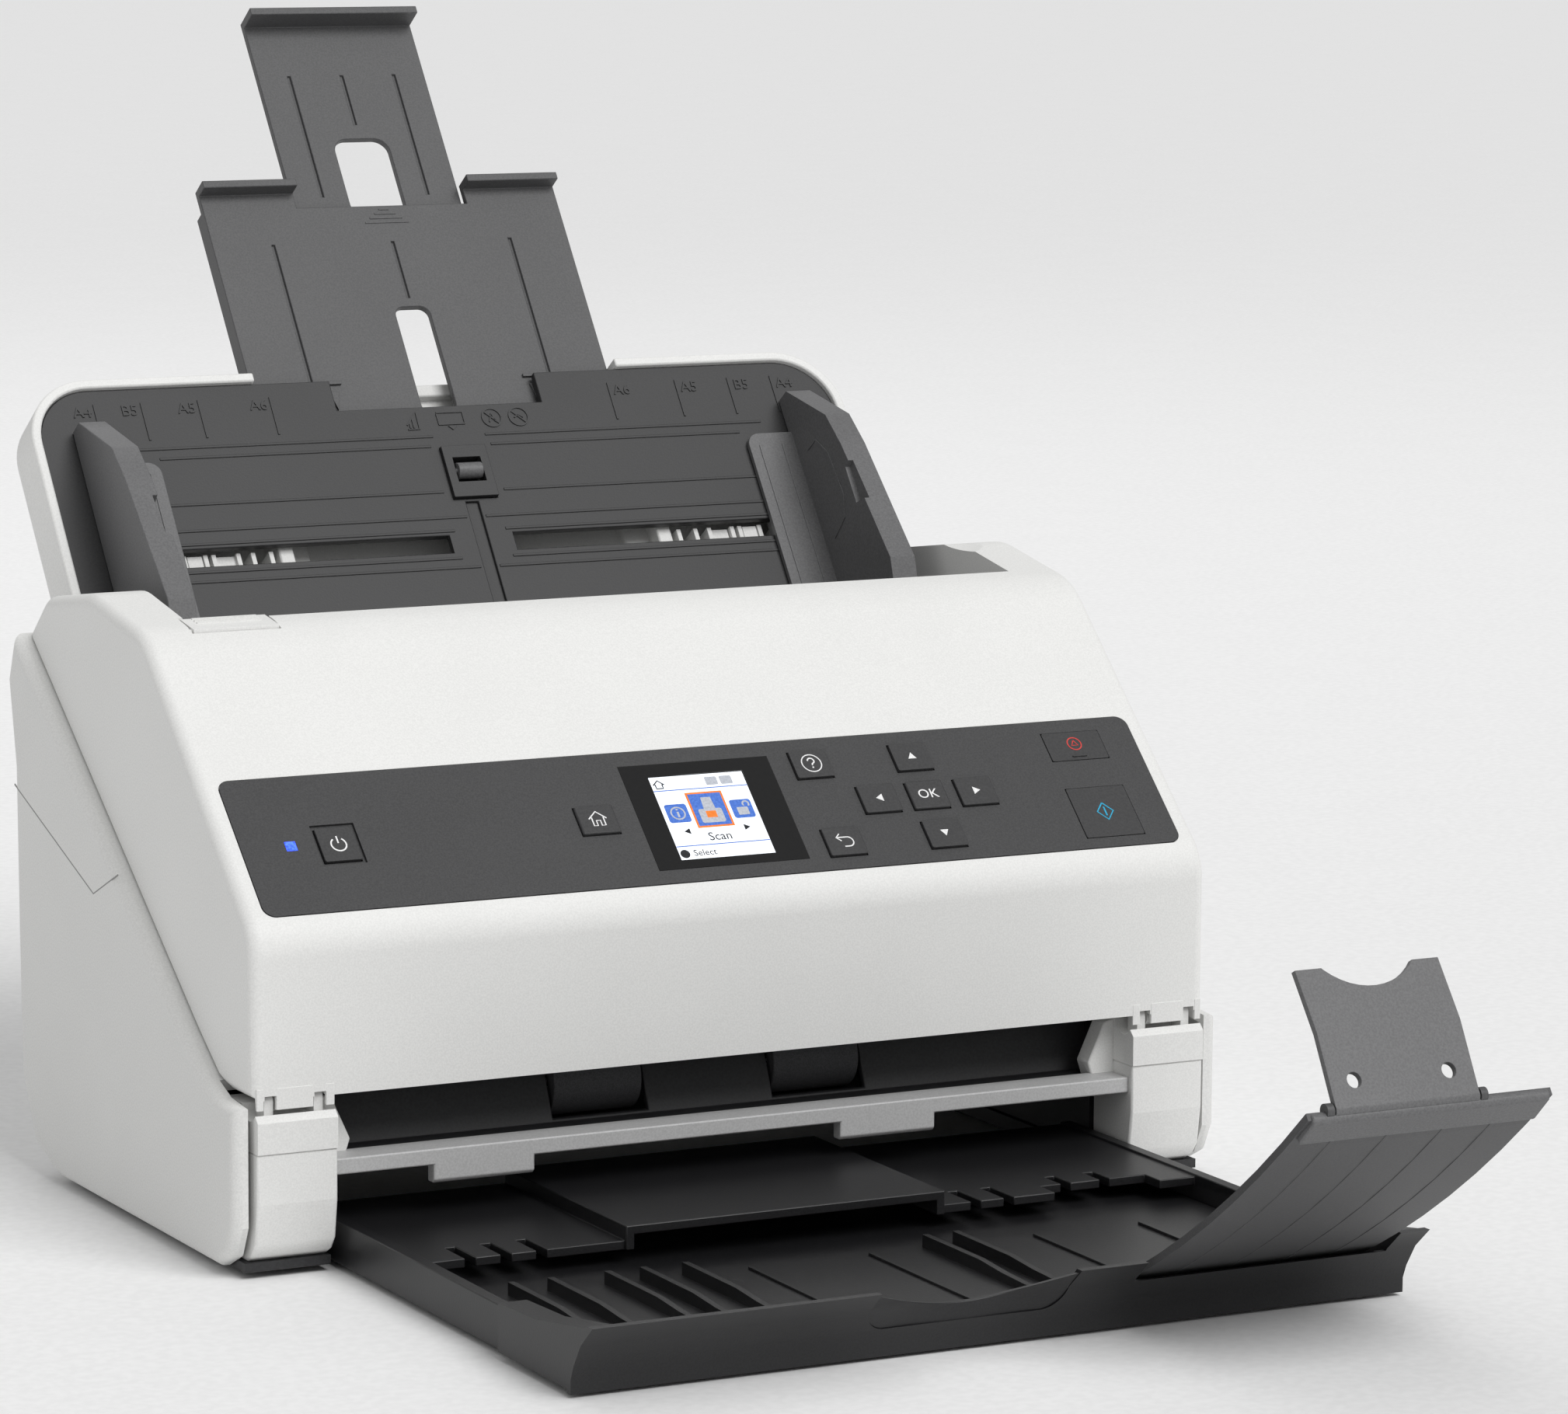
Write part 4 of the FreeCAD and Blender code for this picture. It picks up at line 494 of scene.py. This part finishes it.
tiles("middle_frame", [oblong(-5.4, 5.6, -3.9, 8.1)], "orange")
tiles("middle_tile", [oblong(-4.8, 5.0, -3.3, 7.5)], "blue", 2)
tiles("middle_sheet", [[(-1.6, 2.3), (1.9, 2.3), (1.6, 6.2), (-1.3, 6.2)],
                       oblong(-3.4, 3.6, -2.4, 2.3, 0.6)], "grey", 3)
tiles("middle_box", [oblong(-1.4, 1.6, -0.7, 1.5)], "orange", 4)
tiles("side_tiles", [oblong(-12.9, -6.4, -1.6, 4.6, 0.8), oblong(6.6, 12.9, -1.6, 4.6, 0.8)], "blue", 2)
tiles("side_signs", [stroke(arc(-9.6, 1.5, 2.0, 0, 359, 30), 0.45), oblong(-9.9, -9.3, 0.1, 2.0),
                     oblong(-9.9, -9.3, 2.5, 3.0), oblong(8.1, 11.4, -0.6, 2.0, 0.3),
                     stroke(arc(11.2, 3.0, 0.9, -50, 220, 14), 0.5)], "grey", 3)
tiles("lines", [oblong(-14.0, 14.0, 9.2, 9.5), oblong(-14.0, 14.0, -9.7, -9.4)], "blue")
tiles("header", [oblong(2.2, 5.8, 10.2, 13.0, 0.4), oblong(6.6, 10.2, 10.2, 13.0, 0.4)], "grey")
tiles("signs", [stroke([(-13.4, 11.4), (-11.8, 12.9), (-10.2, 11.4)], 0.4),
                stroke([(-12.8, 11.6), (-12.8, 10.2), (-10.8, 10.2), (-10.8, 11.6)], 0.4),
                [(-9.9, -4.7), (-8.1, -3.7), (-8.1, -5.7)], [(9.9, -4.7), (8.1, -3.7), (8.1, -5.7)],
                arc(-12.3, -12.1, 1.4, 0, 352, 30)], "black")
word_levels = (SCREEN_TOP - ROOT, SCREEN_TOP + 0.04)
lettering("screen_caption", "Scan", "panel", SCREEN_X, SCREEN_Y - 7.1, 2.7, *word_levels, INKS["black"],
          "cover", "display")
lettering("screen_hint", "Select", "panel", SCREEN_X - 9.8, SCREEN_Y - 12.1, 2.0, *word_levels,
          INKS["black"], "cover", "display", False)
print("the display is lit")

# %% [markdown]
# ## Reliefs of the paper tray
# The plate carries moulded marks: tick lines with paper sizes, ridges that keep the sheets from
# sticking, and small pictures. They stand only a fraction of a millimetre proud, in the plate's own
# charcoal. Through the two long slots the white ribs under the plate can be seen.
# %% Marks, ridges and ribs
TICKS = {"A6": 53.8, "A5": 75.9, "B5": 93.3, "A4": 107.6}
MARK_LEVELS = (-0.05, 0.3)
marks = []
for word, x in TICKS.items():
    for sign, side in ((-1, "left"), (1, "right")):
        marks.append(slabbed("tray", oblong(sign * x - 0.3, sign * x + 0.3, -12.0, 0.4), *MARK_LEVELS))
        lettering(f"size_{word}_{side}", word, "tray", sign * (x + 4.0), -2.2, 3.4, *MARK_LEVELS,
                  LOOKS["tray_charcoal"], "base", "tray_charcoal")
# A stack of sheets, one sheet with an arrow, and two crossed circles.
marks += [slabbed("tray", outline, *MARK_LEVELS) for outline in (
    stroke([(-13.6, -12.4), (-10, -12.4), (-10, -6.6), (-13.6, -11.0)], 0.45),
    stroke([(-12.7, -12), (-12.7, -10.2)], 0.45),
    stroke([(-11.6, -12), (-11.6, -8.8)], 0.45),
    stroke([(-3.6, -7.2), (4.6, -7.2), (4.6, -11.2), (-3.6, -11.2), (-3.6, -7.6)], 0.45),
    [(-0.9, -11.8), (1.9, -11.8), (0.5, -13.1)], stroke(arc(13.6, -9.6, 3.0, 0, 359, 30), 0.45),
    stroke([(11.6, -7.6), (15.6, -11.6)], 0.45), stroke(arc(22.2, -9.6, 3.0, 0, 359, 30), 0.45),
    stroke([(20.2, -7.6), (24.2, -11.6)], 0.45), stroke([(12.6, -11), (13.6, -8.2), (14.6, -11)], 0.4),
    stroke([(20.8, -9.9), (22.2, -8.9), (23.6, -9.9)], 0.4))]
make_piece("tray_marks", marks, LOOKS["tray_charcoal"], "base")
RIDGE = np.array([(-0.5, -0.05), (0.5, -0.05), (0.35, 0.25), (-0.35, 0.25)])
ridges = []
for up, spans in ((-15.0, ((-100, -6.5), (10, 100))), (-18.3, ((-92, -8), (11, 92))),
                  (-33.5, ((-100, -8), (11, 100))), (-42.0, ((-100, -3), (3, 100))),
                  (-46.4, ((-102, -8), (8, 102))), (-55.4, ((-102, -8), (8, 102))),
                  (-58.5, ((-100, -3), (3, 100)))):
    ridges += [slabbed("tray", RIDGE + (up, 0), start, end, "x") for start, end in spans]
make_piece("tray_ridges", ridges, LOOKS["tray_charcoal"], "base", 0.1)
ribs = [slabbed("tray", oblong(sign * x - 0.7, sign * x + 0.7, -53.2, -48.0), -12.2, -3.3)
        for sign in (-1, 1) for x in (64.5, 70, 74.5, 82, 84.5, 91, 96.5, 99.5)]
# Under each slot: a long rail and two blocks, given by start, end, lower edge, upper edge and two levels.
for start, end, lower, upper, low, high in ((62.5, 104, -54.0, -50.0, -12.3, -9.0),
                                            (74, 81, -53.0, -48.2, -8.0, -4.6),
                                            (85.5, 90, -53.0, -48.2, -8.0, -3.6)):
    ribs += [slabbed("tray", oblong(*sorted((sign * start, sign * end)), lower, upper), low, high)
             for sign in (-1, 1)]
make_piece("tray_ribs", ribs, LOOKS["shell_white"], "base", 0.15)
print(len(marks), "marks,", len(ridges), "ridges,", len(ribs), "ribs")

# %% [markdown]
# ## Details of the extensions and guides
# Both extensions clip into each other, and the clips show as small dark pockets with a triangular
# tongue. A stack of shortening lines points the way to pull. Each guide carries a thin raised outline on
# its side and two raised lines on its foot.
# %% Clips, arrows and outlines
CLIP_ROOT = -3.5
clips = []
for sign in (-1, 1):
    clips.append(slabbed("tray", [(sign * 32 - 1.6, 3.0), (sign * 32 + 1.6, 3.0), (sign * 32, -3.2)],
                         CLIP_ROOT, -2.7))
    clips.append(slabbed("tray", oblong(sign * 36.5 - 7.5, sign * 36.5 + 7.5, 5.4, 6.4), CLIP_ROOT, -2.6))
    clips.append(slabbed("tray", oblong(sign * 43.5 - 0.5, sign * 43.5 + 0.5, -4.5, 6.4), CLIP_ROOT, -2.6))
make_piece("extension_clips", clips, LOOKS["extension_grey"], "extension", 0.1)
pull = [slabbed("tray", oblong(-half, half, 64.4 - 1.5 * step, 64.9 - 1.5 * step), -3.45, -3.2)
        for step, half in enumerate((1.6, 3.4, 5.2, 7.0))]
make_piece("pull_arrow", pull, LOOKS["extension_grey"], "extension")
GUIDE_LINE = [(-60, 8), (-58, 17), (-52, 20), (-37, 18.5), (-30, 14), (-30, 8)]
for side, sign in (("left", -1), ("right", 1)):
    lines = [slabbed("tray", stroke(GUIDE_LINE, 0.55), *sorted((sign * 107.75, sign * 108.05)), "x")]
    foot = [slabbed("tray", oblong(sign * x - 0.35, sign * x + 0.35, -80, -24), 1.7, 2.05)
            for x in (96.5, 104)]
    make_piece(side + "_guide_outline", lines + foot, LOOKS["guide_grey"], side + "_guide",
               0.05)
print(len(clips), "clip parts and", len(pull), "arrow lines")

# %% [markdown]
# ## Trim of the covers
# A second joint line runs across each side cover where two mould halves meet. The real one is a groove a
# third of a millimetre wide. Here it is a thin darker inlay, three hundredths of a millimetre proud,
# which leaves the wall whole. White fins stand at the ends of the exit.
# %% Joint lines and fins
SEAM = stroke([(157.5, 107), (98, 86), (80, 94)], 0.4)
FIN = np.array([(119.3, 45.0), (116.0, 44.0), (111.0, 33.0), (112.5, 28.4), (119.3, 28.4)])
FIN_DEPTHS = np.array([[9.4], [16.0]])
for side, sign in (("left", -1), ("right", 1)):
    seam = slabbed("body", SEAM, *sorted((sign * 147.3, sign * 147.53)), "x")
    make_piece(side + "_joint_line", [seam], INKS["gap"], "base")
    rings = placed("body", sign * FIN[None, :, 0], FIN_DEPTHS, FIN[None, :, 1])
    make_piece(side + "_exit_fin", [carried(rings)], LOOKS["shell_white"], "base", 0.5)
# The cover's lower edge reaches down in front of each hinge, so that only a thin line shows there. It
# is split where the hinge's lugs stand, and the parts pass between them as the cover opens.
SKIRT = [(-0.1, 50.4), (-0.1, 44.7), (0.9, 44.7), (1.4, 50.4)]
skirts = [slabbed("body", SKIRT, *sorted((sign * start, sign * end)), "x")
          for sign in (-1, 1) for start, end in ((119.5, 121.8), (125.4, 135.7), (139.3, 141.2))]
make_piece("cover_skirts", skirts, LOOKS["shell_white"], "cover", 0.15)
print("joint lines, fins and skirts are in")

# %% [markdown]
# ## Inside the output tray
# A finger reaches the pages through a gap in the front wall. In the gap the wall bows back in an arc and
# its top dips, so it is a sheet over two parameters, across the gap and up the wall. With a bow of
# sin(pi across), its top is 11.4 mm less 6.5 times the bow above its foot, and it leans back from the
# wall's own curve by up to 3.5 times the bow. Low ridges on the floor let air under the last sheet.
# %% Bowed wall and floor ridges
across, upward = np.linspace(0, 1, 33)[:, None], np.linspace(0, 1, 7)[None, :]
bow = np.sin(np.pi * across)
wall_x = -40.4 + 56.8 * across + 0 * upward
wall_up = 7.4 + (11.4 - 6.5 * bow) * upward
front_curve = np.interp(wall_up, [4.4, 8, 14, 19.6], [-139.5, -141, -145, -151.5])
wall_front = front_curve + 0.3 + 3.5 * bow * upward
inner_face = placed("body", wall_x, wall_front + 1.6, wall_up)
outer_face = placed("body", wall_x, wall_front, wall_up)
wall_rings = np.concatenate([inner_face, outer_face[:, ::-1]], axis=1)
make_piece("finger_wall", [carried(wall_rings)], LOOKS["output_black"], "tray_stage_two", 0.2)
LOW_RIDGE = [(-64, 5.7), (-64, 6.6), (-100, 6.5), (-137, 6.6), (-139, 5.7)]
floor_ridges = [slabbed("body", LOW_RIDGE, x, x + 1.0, "x") for x in (-32, 3, 52, 84)]
make_piece("floor_ridges", floor_ridges, LOOKS["output_black"], "tray_stage_two", 0.1)
print("bowed wall of", wall_rings.shape[:2], "points")

# %% [markdown]
# ## The stoppers
# The large stopper swings up at the front of the output tray and holds the pages. Its top edge is
# rolled into a thick lip, and shallow ribs run down its convex side. The lip is a rounded profile
# carried across the stopper, and each rib follows the stopper's arc.
# %% Lip and ribs
STOP_LENGTH, STOP_SAG, STOP_SKIN = 111.0, 4.0, 2.0


def on_arc(share, lift):
    """(up, out) along the stopper: a parabola that sags between its ends, moved out by the lift."""
    share = np.asarray(share, float)
    return np.stack([STOP_LENGTH * share, 4 * STOP_SAG * share * (1 - share) + lift], -1)


share = np.linspace(0.08, 0.93, 24)
rib_side = np.concatenate([on_arc(share[::-1], STOP_SKIN - 0.6), on_arc(share, STOP_SKIN + 0.12)])
rib_lumps = [slabbed("stopper", rib_side, x - 0.6, x + 0.6, "x") for x in (50.0, 66.0, 82.0, 96.0)]
lip = np.array([(0, 0), (8.4, 0.4), (9.8, 1.4), (10.0, 3.0), (9.0, 4.0), (0, 4.2)])
lip_base = on_arc(0.915, -0.6)
lean = radians(-9)
lip_out = np.stack([lip_base[0] + lip[:, 0] * cos(lean) - lip[:, 1] * sin(lean),
                    lip_base[1] + lip[:, 0] * sin(lean) + lip[:, 1] * cos(lean)], -1)
# The lip is part of the grey stopper moulding; it is given the lighter guide grey as a painted highlight on
# its rolled top.
make_piece("stopper_lip_painted_highlight", [slabbed("stopper", lip_out, 38.6, 106.4, "x")], LOOKS["guide_grey"],
           "paper_stopper", 0.5)
make_piece("stopper_ribs", rib_lumps, LOOKS["stopper_grey"], "paper_stopper", 0.15)
print(len(rib_lumps), "stopper ribs")

# %% [markdown]
# ## Floor, light and camera
# The scanner stands on a plain pale floor under soft studio light. A sun with a wide disc shines from
# the front right and above and models the round of the cover. A weak lamp on the left keeps the side in
# shade but readable, and one from behind lifts the tray's edges. The floor is a wide disc of rings.
# %% The stage
floor_mesh = bpy.data.meshes.new("floor")
ring = np.geomspace(0.01, 40.0, 14)[:, None]
turn_about = np.linspace(0, 2 * np.pi, 48, endpoint=False)[None, :]
floor_points = np.stack([ring * np.cos(turn_about), ring * np.sin(turn_about),
                         0 * ring * turn_about - 0.0004], -1)
index = np.arange(floor_points[..., 0].size).reshape(floor_points.shape[:2])
ahead = np.roll(index, -1, axis=1)
floor_faces = np.stack([index[:-1], index[1:], ahead[1:], ahead[:-1]], -1).reshape(-1, 4)
floor_mesh.from_pydata(floor_points.reshape(-1, 3), [], floor_faces.tolist() + [index[0].tolist()])
floor_mesh.materials.append(moulded("pale_painted_floor", "F2F2F2", "F7F7F7", 0.85, 3.0, 0.02))
floor = bpy.data.objects.new("floor", floor_mesh)
bpy.context.scene.collection.objects.link(floor)


def lamp(name, place, aim, size_m, watts):
    """A square area light at a place, turned so that its face looks at the aim."""
    light = bpy.data.lights.new(name, "AREA")
    light.size, light.energy = size_m, watts
    holder = bpy.data.objects.new(name, light)
    holder.location = place
    holder.rotation_euler = (Vector(aim) - Vector(place)).to_track_quat("-Z", "Y").to_euler()
    bpy.context.scene.collection.objects.link(holder)


lamp("left_lamp", (-1.9, -0.6, 0.9), (0, 0, 0.12), 1.2, 1.0)
lamp("rear_lamp", (0.3, 1.8, 1.9), (0, 0, 0.15), 1.4, 6)
key_light = bpy.data.lights.new("key_light", "SUN")
key_light.energy, key_light.angle = 1.8, radians(38)
key_holder = bpy.data.objects.new("key_light", key_light)
key_holder.rotation_euler = Vector((-0.5, 1.5, -1.8)).to_track_quat("-Z", "Y").to_euler()
bpy.context.scene.collection.objects.link(key_holder)
world = bpy.data.worlds.new("studio")
world.use_nodes = True
world.node_tree.nodes["Background"].inputs["Color"].default_value = linear("FFFFFF")
world.node_tree.nodes["Background"].inputs["Strength"].default_value = 0.43
bpy.context.scene.world = world
bpy.context.scene.view_settings.view_transform = "Standard"

# %% [markdown]
# The camera looks down a little from the front left through a long lens, so the machine's upright
# edges stay nearly parallel. Its turn is given by the three directions of its own axes.
# %% The camera
RIGHT = Vector((0.8877, -0.4604, 0.0074))
DOWN = Vector((-0.0635, -0.1384, -0.9883))
AHEAD = Vector((0.456, 0.8769, -0.152))
STAND = Vector((-0.7459, -1.48483, 0.3874))
view = bpy.data.cameras.new("camera")
view.lens, view.sensor_width = 143.38, 36.0
view.shift_x, view.shift_y = 0.00064, 0.0119
view.clip_end = 50
camera = bpy.data.objects.new("camera", view)
camera.matrix_world = Matrix.Translation(STAND) @ Matrix((RIGHT, -DOWN, -AHEAD)).transposed().to_4x4()
bpy.context.scene.collection.objects.link(camera)
bpy.context.scene.camera = camera
